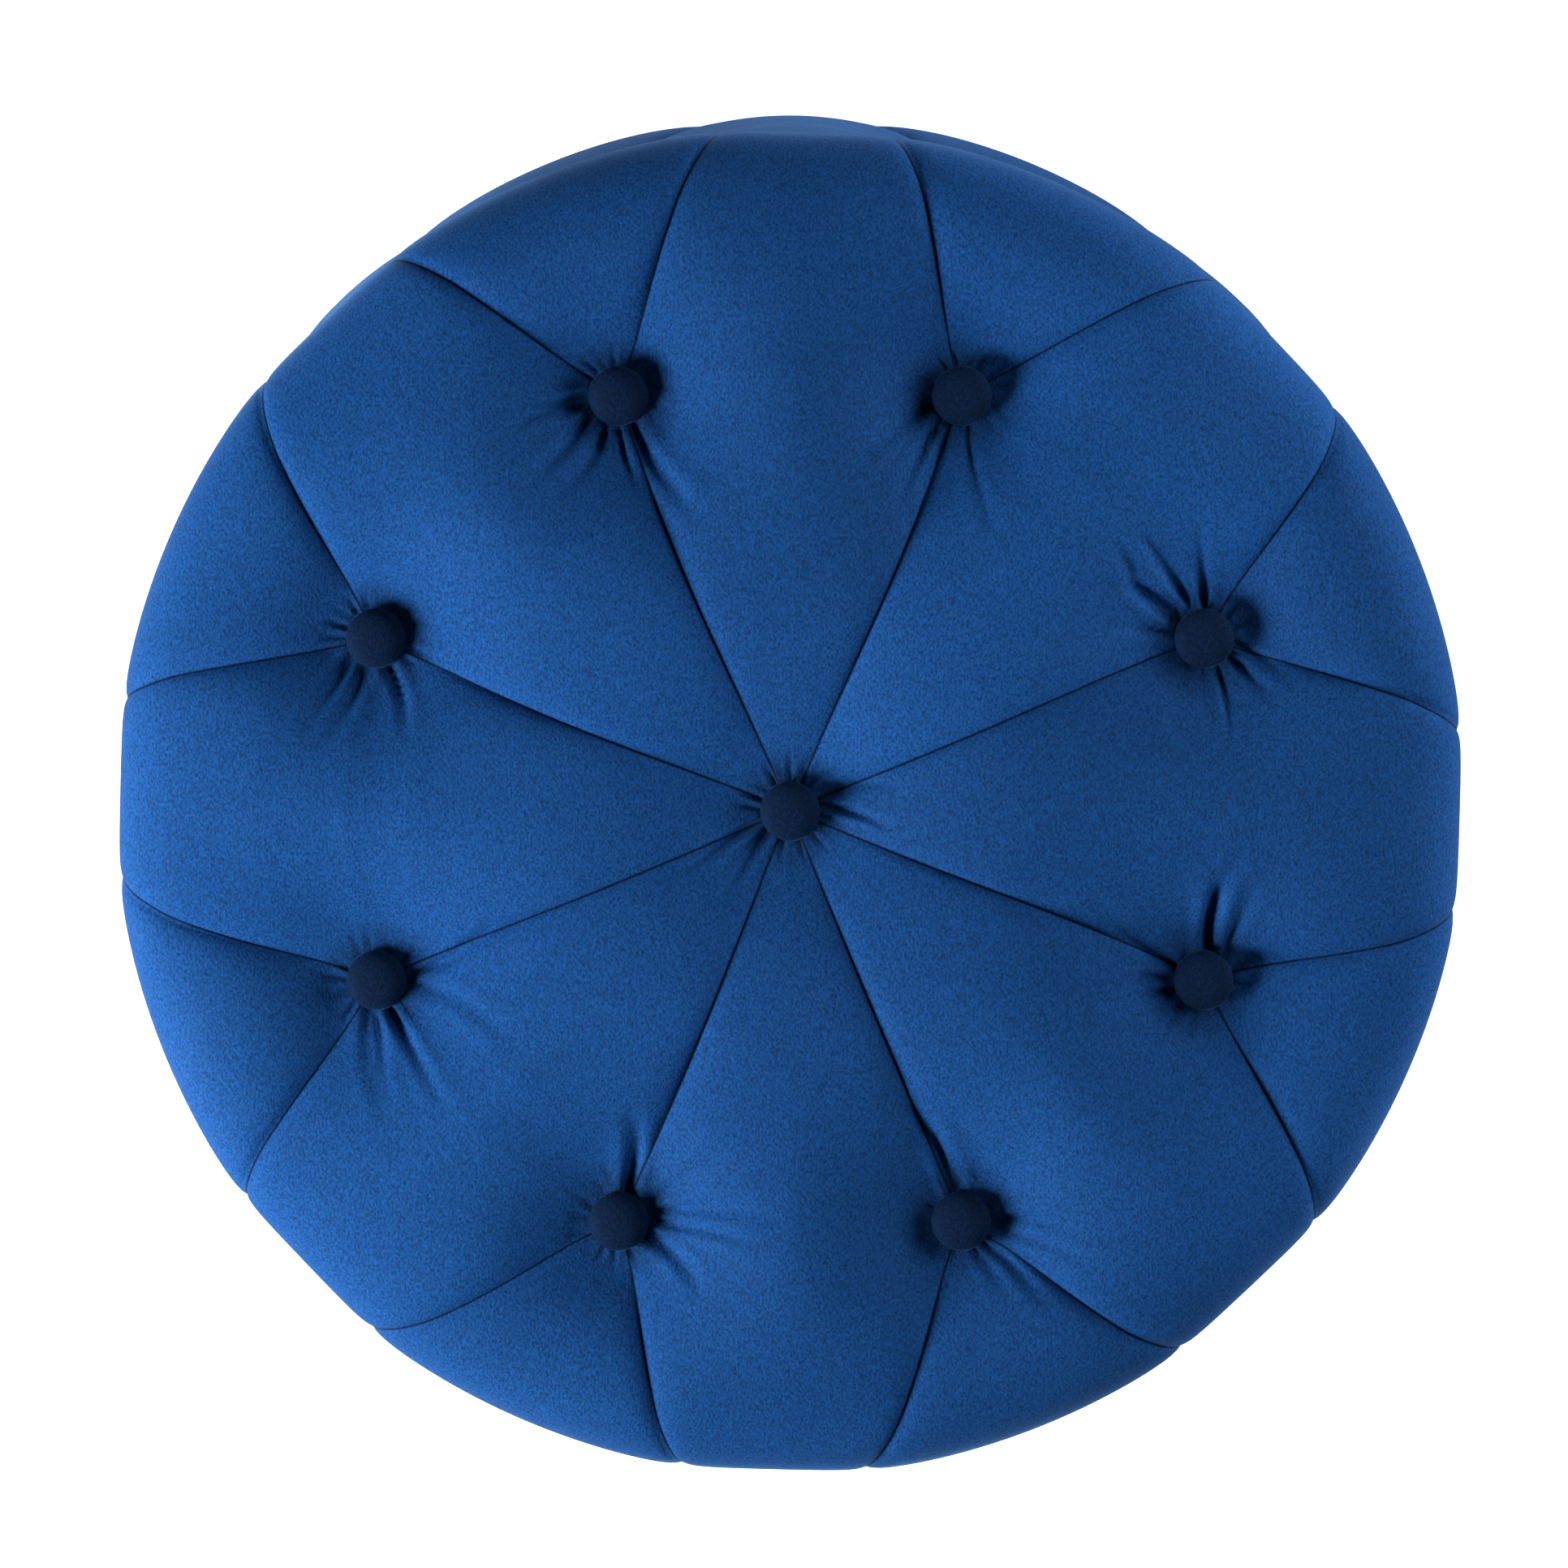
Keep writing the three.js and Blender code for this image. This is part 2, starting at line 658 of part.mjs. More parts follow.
const lidLiningRadius = pinY - hinge.length - 2 * gap - cloth;
const lidHemRadius = lidLiningRadius - hem.overlap;
place(
  lid,
  "lid_cover",
  cutFrom(
    loft(
      [
        lidCentre(0),
        ...lidRings(0),
        plainRing(lidEdgeColumns, lidEdgeRadius, lidZ),
        plainRing(lidEdgeColumns, lidHemRadius, lidZ),
        plainRing(lidEdgeColumns, lidHemRadius, lidZ + velvet),
        plainRing(lidEdgeColumns, lidEdgeRadius, lidZ + velvet),
        ...lidRings(velvet).toReversed(),
        lidCentre(velvet),
      ],
      lidHeart,
    ),
    lidTwineHoles(lidBoardTop, overall.height),
  ),
  blueVelvet,
);

place(lid, "lid_lining", disc(lidLiningRadius, lidZ - gap - cloth, lidZ - gap), blackCloth);

export default ottoman;
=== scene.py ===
import math

import bmesh
import bpy
import numpy as np
from mathutils import Matrix, Vector
from mathutils.geometry import delaunay_2d_cdt


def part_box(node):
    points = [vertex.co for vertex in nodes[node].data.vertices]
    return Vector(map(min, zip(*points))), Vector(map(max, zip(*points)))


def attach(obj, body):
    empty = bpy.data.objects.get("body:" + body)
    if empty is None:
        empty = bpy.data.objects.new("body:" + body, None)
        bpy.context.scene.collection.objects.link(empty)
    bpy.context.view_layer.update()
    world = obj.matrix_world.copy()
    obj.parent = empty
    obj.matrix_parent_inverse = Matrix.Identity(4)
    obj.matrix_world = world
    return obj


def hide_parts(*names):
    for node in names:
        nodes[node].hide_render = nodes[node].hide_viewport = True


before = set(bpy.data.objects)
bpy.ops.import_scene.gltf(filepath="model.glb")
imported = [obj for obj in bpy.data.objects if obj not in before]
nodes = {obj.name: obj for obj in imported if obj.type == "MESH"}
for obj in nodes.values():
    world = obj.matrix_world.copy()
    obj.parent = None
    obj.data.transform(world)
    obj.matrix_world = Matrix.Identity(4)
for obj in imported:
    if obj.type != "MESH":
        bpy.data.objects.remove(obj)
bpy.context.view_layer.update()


# ---- Feet ----
# Four short tapered feet of black moulded polypropylene, 30 mm high. They keep their mould's fine
# texture, and their soles are scuffed dull by the floor.

def start_finish(name, colour, roughness, metallic=0.0, specular=0.5):
    """A new material with its main surface set, ready for its own nodes."""
    finish = bpy.data.materials.new(name)
    finish.use_nodes = True
    surface = finish.node_tree.nodes["Principled BSDF"]
    surface.inputs["Base Color"].default_value = (*colour, 1)
    surface.inputs["Roughness"].default_value = roughness
    surface.inputs["Metallic"].default_value = metallic
    surface.inputs["Specular IOR Level"].default_value = specular
    return finish, finish.node_tree, surface


def add_node(tree, kind, **inputs):
    """A node of a kind with its inputs set: a socket goes in by link, and anything else by value."""
    node = tree.nodes.new(kind)
    for name, value in inputs.items():
        socket = node.inputs[int(name[1:])] if name[0] == "i" and name[1:].isdigit() else node.inputs[name]
        if isinstance(value, bpy.types.NodeSocket):
            tree.links.new(value, socket)
        else:
            socket.default_value = value
    return node


def shade_range(tree, value, stops):
    """A colour ramp over a value, from (position, colour) stops."""
    ramp = add_node(tree, "ShaderNodeValToRGB", Fac=value)
    while len(ramp.color_ramp.elements) < len(stops):
        ramp.color_ramp.elements.new(0.5)
    for element, (place, colour) in zip(ramp.color_ramp.elements, stops):
        element.position = place
        element.color = (*colour, 1)
    return ramp.outputs["Color"]


def value_range(tree, value, low, high, to_low, to_high):
    """A value stretched from one range to another, clamped."""
    node = tree.nodes.new("ShaderNodeMapRange")
    tree.links.new(value, node.inputs["Value"])
    for socket, number in zip(node.inputs[1:5], (low, high, to_low, to_high)):
        socket.default_value = number
    return node.outputs["Result"]


def make_grain_group():
    """Fine even grain, as on moulded plastic, paper and pressed cloth: a mask and a height."""
    group = bpy.data.node_groups.new("fine grain", "ShaderNodeTree")
    sockets = group.interface
    sockets.new_socket("Grains per metre", in_out="INPUT", socket_type="NodeSocketFloat").default_value = 900
    sockets.new_socket("Patches per metre", in_out="INPUT", socket_type="NodeSocketFloat").default_value = 25
    sockets.new_socket("Grain", in_out="OUTPUT", socket_type="NodeSocketFloat")
    sockets.new_socket("Patches", in_out="OUTPUT", socket_type="NodeSocketFloat")
    given, result = group.nodes.new("NodeGroupInput"), group.nodes.new("NodeGroupOutput")
    place = group.nodes.new("ShaderNodeTexCoord").outputs["Object"]
    grain = add_node(group, "ShaderNodeTexNoise", Vector=place, Scale=given.outputs[0], Detail=3.0)
    patches = add_node(group, "ShaderNodeTexNoise", Vector=place, Scale=given.outputs[1], Detail=4.0)
    group.links.new(grain.outputs["Fac"], result.inputs[0])
    group.links.new(patches.outputs["Fac"], result.inputs[1])
    return group


grain_group = make_grain_group()


def add_grain(tree, grains, patches):
    """The grain group placed in a material, with its own sizes."""
    node = tree.nodes.new("ShaderNodeGroup")
    node.node_tree = grain_group
    node.inputs[0].default_value = grains
    node.inputs[1].default_value = patches
    return node.outputs["Grain"], node.outputs["Patches"]


def add_bump(tree, surface, height, strength, depth, under=None):
    """Raises a surface by a height map: depth is in metres."""
    bump = add_node(tree, "ShaderNodeBump", Height=height, Strength=strength, Distance=depth)
    if under is not None:
        tree.links.new(under, bump.inputs["Normal"])
    tree.links.new(bump.outputs["Normal"], surface.inputs["Normal"])
    return bump.outputs["Normal"]


foot_finish, tree, surface = start_finish("moulded black", (0.006, 0.006, 0.007), 0.5)
grain, patches = add_grain(tree, 1400, 30)
sole = add_node(tree, "ShaderNodeSeparateXYZ", Vector=tree.nodes.new("ShaderNodeTexCoord").outputs["Object"])
scuff = value_range(tree, sole.outputs["Z"], 0.0005, 0.004, 1, 0)
dull = add_node(tree, "ShaderNodeMath", i0=patches, i1=scuff)
dull.operation = "MULTIPLY"
tree.links.new(shade_range(tree, dull.outputs[0], [(0, (0.006, 0.006, 0.007)), (0.6, (0.035, 0.034, 0.032))]),
               surface.inputs["Base Color"])
tree.links.new(value_range(tree, patches, 0.3, 0.7, 0.42, 0.6), surface.inputs["Roughness"])
add_bump(tree, surface, grain, 0.5, 0.0002)


def finish_nodes(names, finish):
    """Gives the frame's own solids a finish."""
    for name in names:
        nodes[name].data.materials.clear()
        nodes[name].data.materials.append(finish)


finish_nodes([f"foot_{k}" for k in range(1, 5)], foot_finish)


# ---- Bolts, T-nuts and hinges ----
# Bright zinc-plated steel: pressed hinge leaves with a rolled barrel and a riveted pin, M8 bolts that
# carry the feet, and the T-nuts that they screw into.

zinc_finish, tree, surface = start_finish("bright zinc", (0.56, 0.57, 0.59), 0.32, metallic=1.0)
grain, patches = add_grain(tree, 500, 60)
tree.links.new(shade_range(tree, patches, [(0.3, (0.42, 0.43, 0.45)), (0.7, (0.62, 0.63, 0.64))]),
               surface.inputs["Base Color"])
place = tree.nodes.new("ShaderNodeTexCoord").outputs["Object"]
drawn = add_node(tree, "ShaderNodeMapping", Vector=place, Scale=(60, 3000, 3000))
lines = add_node(tree, "ShaderNodeTexNoise", Vector=drawn.outputs["Vector"], Scale=1.0, Detail=3.0)
tree.links.new(value_range(tree, lines.outputs["Fac"], 0.3, 0.7, 0.24, 0.42), surface.inputs["Roughness"])
add_bump(tree, surface, lines.outputs["Fac"], 0.25, 0.00005)

steel = [f"foot_bolt_{k}" for k in range(1, 5)] + [f"t_nut_{k}" for k in range(1, 5)]
steel += [f"hinge_{side}_{part}" for side in ("left", "right") for part in ("drum_leaf", "lid_leaf", "pin")]
finish_nodes(steel, zinc_finish)


# ---- Boards, battens and rings ----
# The carcass: birch plywood bottom, top ring and lid board, pine battens, a bent hardboard drum and a
# grey paperboard tube inside. All of it is bare, as it is under upholstery.

def make_wood_group():
    """Straight-grained wood: growth lines wander along the grain, with short dark pores."""
    group = bpy.data.node_groups.new("wood figure", "ShaderNodeTree")
    sockets = group.interface
    stretch = sockets.new_socket("Grain stretch", in_out="INPUT", socket_type="NodeSocketVector")
    stretch.default_value = (4, 90, 90)
    sockets.new_socket("Figure", in_out="OUTPUT", socket_type="NodeSocketFloat")
    sockets.new_socket("Pores", in_out="OUTPUT", socket_type="NodeSocketFloat")
    given, result = group.nodes.new("NodeGroupInput"), group.nodes.new("NodeGroupOutput")
    place = group.nodes.new("ShaderNodeTexCoord").outputs["Object"]
    stretched = group.nodes.new("ShaderNodeVectorMath")
    stretched.operation = "MULTIPLY"
    group.links.new(place, stretched.inputs[0])
    group.links.new(given.outputs[0], stretched.inputs[1])
    figure = add_node(group, "ShaderNodeTexNoise", Vector=stretched.outputs[0], Scale=1.0, Detail=6.0,
                      Distortion=0.6)
    pores = add_node(group, "ShaderNodeTexNoise", Vector=stretched.outputs[0], Scale=7.0, Detail=2.0)
    group.links.new(figure.outputs["Fac"], result.inputs[0])
    group.links.new(pores.outputs["Fac"], result.inputs[1])
    return group


wood_group = make_wood_group()


def wood_finish(name, dark, light, stretch, roughness):
    """Bare sanded wood between two tones, with its grain stretched along one way."""
    finish, tree, surface = start_finish(name, light, roughness, specular=0.3)
    wood = tree.nodes.new("ShaderNodeGroup")
    wood.node_tree = wood_group
    wood.inputs[0].default_value = stretch
    tree.links.new(shade_range(tree, wood.outputs["Figure"], [(0.32, dark), (0.68, light)]),
                   surface.inputs["Base Color"])
    tree.links.new(value_range(tree, wood.outputs["Pores"], 0.3, 0.7, roughness + 0.1, roughness - 0.1),
                   surface.inputs["Roughness"])
    add_bump(tree, surface, wood.outputs["Pores"], 0.4, 0.0003)
    return finish


plywood_finish = wood_finish("birch plywood", (0.42, 0.26, 0.12), (0.62, 0.43, 0.23), (5, 70, 260), 0.65)
pine_finish = wood_finish("planed pine", (0.55, 0.34, 0.15), (0.74, 0.54, 0.29), (110, 110, 5), 0.6)
hardboard_finish = wood_finish("hardboard", (0.13, 0.07, 0.035), (0.24, 0.14, 0.07), (260, 260, 260), 0.75)
paperboard_finish = wood_finish("grey paperboard", (0.24, 0.22, 0.19), (0.36, 0.33, 0.29), (30, 30, 200),
                                0.85)
finish_nodes(["base_board", "lid_board"] + [f"top_ring_{k}" for k in range(1, 5)], plywood_finish)
finish_nodes([f"batten_{k}" for k in range(1, 9)], pine_finish)
finish_nodes(["drum_wall"], hardboard_finish)
finish_nodes(["liner_board"], paperboard_finish)


# ---- Velvet ----
# Royal-blue cut-pile velvet on both covers and all the buttons, the buttons' copy coloured darker as painted
# shade. The pile is short, dense and a little streaky, and it glows where it is seen edge-on. A seam shows as
# a fine dark line, partly real and partly painted shade, and the pile round each button is darkened as
# painted shade.

def make_pile_group():
    """Cut pile between two tones: streaky specks, brushed patches, and the specks' height."""
    group = bpy.data.node_groups.new("cut pile", "ShaderNodeTree")
    sockets = group.interface
    sockets.new_socket("Dark pile", in_out="INPUT", socket_type="NodeSocketColor")
    sockets.new_socket("Light pile", in_out="INPUT", socket_type="NodeSocketColor")
    sockets.new_socket("Pile", in_out="OUTPUT", socket_type="NodeSocketColor")
    sockets.new_socket("Specks", in_out="OUTPUT", socket_type="NodeSocketFloat")
    sockets.new_socket("Patches", in_out="OUTPUT", socket_type="NodeSocketFloat")
    given, result = group.nodes.new("NodeGroupInput"), group.nodes.new("NodeGroupOutput")
    place = group.nodes.new("ShaderNodeTexCoord").outputs["Object"]
    leaning = add_node(group, "ShaderNodeMapping", Vector=place, Scale=(1, 0.6, 0.8))
    specks = add_node(group, "ShaderNodeTexNoise", Vector=leaning.outputs["Vector"], Scale=1250.0, Detail=2.0)
    patches = add_node(group, "ShaderNodeTexNoise", Vector=place, Scale=9.0, Detail=3.0)
    brushed = value_range(group, patches.outputs["Fac"], 0.3, 0.7, 0, 1)
    tone = group.nodes.new("ShaderNodeMix")
    tone.data_type = "RGBA"
    group.links.new(brushed, tone.inputs["Factor"])
    group.links.new(given.outputs[0], tone.inputs["A"])
    group.links.new(given.outputs[1], tone.inputs["B"])
    speckle = shade_range(group, specks.outputs["Fac"],
                          [(0.30, (0.56, 0.56, 0.56)), (0.70, (1.46, 1.46, 1.46))])
    pile = group.nodes.new("ShaderNodeMix")
    pile.data_type, pile.blend_type = "RGBA", "MULTIPLY"
    pile.inputs["Factor"].default_value = 1.0
    group.links.new(tone.outputs["Result"], pile.inputs["A"])
    group.links.new(speckle, pile.inputs["B"])
    group.links.new(pile.outputs["Result"], result.inputs[0])
    group.links.new(specks.outputs["Fac"], result.inputs[1])
    group.links.new(patches.outputs["Fac"], result.inputs[2])
    return group


pile_group = make_pile_group()


def velvet_cloth(name, dark, light, measures=(), sheen=0.24):
    """Velvet between two tones. Each measure is a point attribute, with the range by which it darkens or
    lightens the pile; the seam and button measures paint shade.
    """
    finish, tree, surface = start_finish(name, light, 0.9, specular=0.07)
    surface.inputs["Sheen Weight"].default_value = sheen
    surface.inputs["Sheen Roughness"].default_value = 0.34
    surface.inputs["Sheen Tint"].default_value = (0.16, 0.46, 1.0, 1)
    pile = tree.nodes.new("ShaderNodeGroup")
    pile.node_tree = pile_group
    pile.inputs[0].default_value = (*dark, 1)
    pile.inputs[1].default_value = (*light, 1)
    colour = pile.outputs["Pile"]
    for key, limits in measures:
        measure = tree.nodes.new("ShaderNodeAttribute")
        measure.attribute_name = key
        shaded = tree.nodes.new("ShaderNodeMix")
        shaded.data_type, shaded.blend_type = "RGBA", "MULTIPLY"
        shaded.inputs["Factor"].default_value = 1.0
        tree.links.new(colour, shaded.inputs["A"])
        tree.links.new(value_range(tree, measure.outputs["Fac"], *limits), shaded.inputs["B"])
        colour = shaded.outputs["Result"]
    tree.links.new(colour, surface.inputs["Base Color"])
    tree.links.new(value_range(tree, pile.outputs["Patches"], 0.3, 0.7, 0.86, 0.72),
                   surface.inputs["Roughness"])
    add_bump(tree, surface, pile.outputs["Specks"], 0.5, 0.0005)
    return finish


velvet_finish = velvet_cloth("blue velvet", (0.0066, 0.058, 0.213), (0.0086, 0.070, 0.250), [
    # Partly a real dark seam line and partly painted shade in the seam's crease: the pile is darkened to 0.10
    # within 0.8 mm of a seam.
    ("seam_gap", (0.0001, 0.0008, 0.10, 1.0)),
    # Painted shade: the pile is darkened to 0.42 at a button's edge, easing off by 26 mm from its middle, for
    # the shade in the pits.
    ("button_gap", (0.0125, 0.026, 0.42, 1.0)),
    ("nap", (0.0, 1.0, 0.90, 1.08)),
])
# Painted shade: the buttons' velvet is the same cloth as the covers, coloured about six times darker for the
# shade in their pits.
button_painted_shade_velvet = velvet_cloth("blue velvet on buttons in painted shade", (0.0013, 0.0100, 0.036), (0.0019, 0.014, 0.050),
                             sheen=0.15)


# ---- Lid cushion ----
# A foam cushion 106 mm high on a plywood disc, in a velvet cover sewn from sixteen panels. Eight seams
# run from the middle button to the ring of eight, and from each of those two more run over the edge.
# Every button gathers the velvet round it into folds.

PANELS = 8
lid_low, lid_high = (Vector(corner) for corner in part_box("lid_cover"))
lid_full_radius = 0.272
lid_edge_radius = 0.252
edge_roll = 0.004
lid_hem_middle = 0.22
lid_hem_inner = 0.206
lid_full_height = lid_low.z + 0.045
lid_crown = 0.4385
lid_ring_radius = 0.179
rim_seam_angle = 13.4  # degrees from a button's own radius to its outer seams
rim_seam_turn = 1.5  # and how far they turn outwards over the edge
hem_seam_angle = 18.0
velvet = 0.0012
BUTTON_EDGE = 0.0125


def lid_outline(level):
    """Radius and height of the untufted lid: 0 at the crown, 1 at the fullest edge and 2 at the hem."""
    level = np.asarray(level, float)
    up, out = np.abs(np.cos(level * math.pi / 2)), np.abs(np.sin(level * math.pi / 2))
    power = 2 / 2.8
    radius = np.where(level <= 1, lid_full_radius * out**power,
                      lid_edge_radius + (lid_full_radius - lid_edge_radius) * out)
    height = np.where(level <= 1, lid_full_height + (lid_crown - lid_full_height) * up**power,
                      lid_full_height - (lid_full_height - lid_low.z) * up)
    return radius, height


lid_ring_level = 2 / math.pi * math.asin((lid_ring_radius / lid_full_radius) ** 1.4)


def lid_spread(level):
    """Degrees from a button's own radius to its two outer seams."""
    radius = lid_outline(level)[0]
    share = np.clip((radius - lid_ring_radius) / (lid_full_radius - lid_ring_radius), 0, 1)
    turned = rim_seam_turn * np.clip((level - 0.7) / 0.3, 0, 1) ** 1.5
    at_rim = rim_seam_angle + rim_seam_turn
    over_edge = at_rim + (hem_seam_angle - at_rim) * (level - 1)
    on_top = np.where(level <= lid_ring_level, 0, rim_seam_angle * share**0.78 + turned)
    return np.where(level > 1, over_edge, on_top)


def walk(outline, start, end, step_at):
    """Levels from start to end, whose steps along the outline are about step_at(radius, height) long."""
    fine = np.linspace(start, end, 3000)
    radius, height = outline(fine)
    lengths = np.hypot(np.diff(radius), np.diff(height))
    counted = np.concatenate([[0], np.cumsum(lengths / step_at(radius[1:], height[1:]))])
    rows = max(3, round(counted[-1]))
    return np.interp(np.linspace(0, counted[-1], rows + 1), counted, fine)


def columns(count, crowding):
    """Places across a panel from -1 up to 1, crowded towards its seams."""
    even = np.linspace(-1, 1, count, endpoint=False)
    return (1 - crowding) * even + crowding * np.sin(even * math.pi / 2)


def fold_depth(ahead, beside, folds):
    """How deep the folds round a button go at points ahead of it and beside it, in metres."""
    far = np.hypot(ahead, beside)
    turn = np.arctan2(beside, ahead)
    depth = np.zeros_like(far)
    for angle, length, deep, width, bend in folds:
        off = (turn - angle - bend * (far - BUTTON_EDGE) / 0.03 + math.pi) % (2 * math.pi) - math.pi
        aside = np.where(np.abs(off) < 1, far * np.sin(np.clip(off, -1, 1)), 1.0)
        wide = width * (0.75 + 0.35 * far / 0.02)
        ridges = np.exp(-(((np.abs(aside) - 2.1 * wide) / (1.1 * wide)) ** 2))
        crease = np.exp(-((aside / wide) ** 2)) - 0.5 * ridges
        start = np.clip((far - BUTTON_EDGE + 0.003) / 0.004, 0, 1)
        fade = np.clip(1 - ((far - BUTTON_EDGE) / length), 0, 1)
        depth += deep * crease * start * fade**0.8
    return depth


def gather_folds(seed, clusters, count):
    """The folds round a button: long ones bunched about the cluster angles, and short ones all round."""
    chance = np.random.default_rng(seed)
    folds = []
    for centre, many in clusters:
        for k in range(many):
            angle = math.radians(centre) + (k - (many - 1) / 2) * 0.36 + chance.uniform(-0.09, 0.09)
            folds.append((angle, chance.uniform(0.026, 0.050), chance.uniform(0.0018, 0.0036),
                          chance.uniform(0.0013, 0.0023), chance.uniform(-0.3, 0.3)))
    for k in range(count):
        angle = (k + chance.uniform(-0.3, 0.3)) * 2 * math.pi / count
        folds.append((angle, chance.uniform(0.008, 0.015), chance.uniform(0.0006, 0.0012), 0.0011, 0.0))
    return folds


def lay_panels(outline, spread, levels, kite_columns, wedge_columns, pad):
    """Rings of points of a tufted cover, with each point's distance to a seam and a button and its nap."""
    radius, height = (value[:, None] for value in outline(levels))
    ahead, behind = outline(levels + 1e-4), outline(levels - 1e-4)
    along = np.stack([ahead[0] - behind[0], ahead[1] - behind[1]], 1)
    along /= np.linalg.norm(along, axis=1)[:, None]
    opening = spread(levels)[:, None]
    chance = np.random.default_rng(pad["seed"])
    angles, across, halves, naps, kites = [], [], [], [], []
    for k in range(PANELS):
        button = (k + 0.5) * 360 / PANELS
        for middle, half, places, kite in ((button, opening, wedge_columns, 0),
                                           (button + 22.5, 22.5 - opening, kite_columns, 1)):
            shape = (len(levels), len(places))
            angles.append(middle + places * half)
            across.append(np.broadcast_to(places, shape))
            halves.append(np.broadcast_to(half, shape))
            naps.append(np.full(shape, chance.uniform()))
            kites.append(np.full(shape, kite))
    angle, across, kite = np.radians(np.hstack(angles)), np.hstack(across), np.hstack(kites)
    half_angle = np.radians(np.hstack(halves))
    half_width = half_angle * radius
    seam_gap = (1 - np.abs(across)) * half_width
    bows = chance.uniform(-1, 1, 2 * PANELS) * math.radians(pad["bow"])
    fullest = pad["rim_share"](radius, height)
    for k in range(PANELS):
        off = (angle - button_angles[k] + math.pi) % (2 * math.pi) - math.pi
        near = np.cos(np.clip(off * PANELS / 2, -math.pi / 2, math.pi / 2)) ** 2
        angle = angle + near * (bows[2 * k] * pad["bow_share"](radius, height))
    angle = angle + math.radians(pad["twist"]) * fullest
    plain = np.stack([radius * np.cos(angle), radius * np.sin(angle), height + 0 * angle], 2)
    gaps = [np.linalg.norm(plain - np.array(place), axis=2) for place in pad["buttons"]]
    button_gap = np.min(gaps, axis=0)
    fullness = np.minimum(1, 2 * half_width / pad["full_width"]) ** 2
    domed, roll, rim_roll = 0.60, 0.009, 0.006
    puff = domed * (1 - np.abs(across) ** 2) + (1 - domed) * (1 - np.exp(-seam_gap / roll))
    tufted = pad["seam_depth"] * (1 - fullness * puff)
    flat = kite * radius * (1 - np.cos(half_angle) / np.cos(half_angle * across))
    edge = pad["rim_flat"] * flat + pad["rim_depth"] * np.exp(-seam_gap / rim_roll)
    depth = tufted + (edge - tufted) * fullest
    groove, groove_width = 0.0014 - 0.0006 * fullest, 0.0018
    depth = depth + groove * np.exp(-seam_gap / groove_width)
    dip = pad["dip"] * sum(np.exp(-((gap / pad["dip_reach"]) ** 1.3)) for gap in gaps)
    past = np.maximum(0, button_gap - BUTTON_EDGE)
    beside_seam = 0.007
    reach = pad["pull_reach"] + pad["seam_reach"] * np.exp(-seam_gap / beside_seam)
    pull = np.exp(-past / reach)
    depth = (depth + dip) * (1 - pull)
    out, up = along[:, 0:1], along[:, 1:2]
    inward = np.stack([up * np.cos(angle), up * np.sin(angle), -out + 0 * angle], 2)
    points = plain + inward * depth[:, :, None]
    longest_fold = 0.07
    for place, folds, gap in zip(pad["buttons"], pad["folds"], gaps):
        aside = pad["flatten"](plain, np.array(place))
        points += inward * np.where(gap < longest_fold, fold_depth(*aside, folds), 0)[:, :, None]
    points += pad["pull_way"](angle) * (pad["button_depth"] * pull)[:, :, None]
    return points, {"seam_gap": seam_gap, "button_gap": button_gap, "nap": np.hstack(naps)}


def loop_quads(rows, count):
    """Quads between closed rings of points, by the points' numbers."""
    i, j = np.meshgrid(np.arange(rows - 1), np.arange(count), indexing="ij")
    next_j = (j + 1) % count
    quads = np.stack([i * count + j, (i + 1) * count + j, (i + 1) * count + next_j, i * count + next_j], 2)
    return quads.reshape(-1, 4)


def tidy_faces(mesh, merge=None):
    """Turns a closed mesh's faces outwards, after merging points that are closer than a distance."""
    built = bmesh.new()
    built.from_mesh(mesh)
    if merge:
        bmesh.ops.remove_doubles(built, verts=built.verts, dist=merge)
    bmesh.ops.recalc_face_normals(built, faces=built.faces)
    built.to_mesh(mesh)
    built.free()


def add_piece(name, data):
    """A new object in the scene, from a mesh or a camera."""
    piece = bpy.data.objects.new(name, data)
    bpy.context.scene.collection.objects.link(piece)
    return piece


def read_points(mesh):
    """The mesh's points, as an array."""
    flat = np.empty(len(mesh.vertices) * 3)
    mesh.vertices.foreach_get("co", flat)
    return flat.reshape(-1, 3)


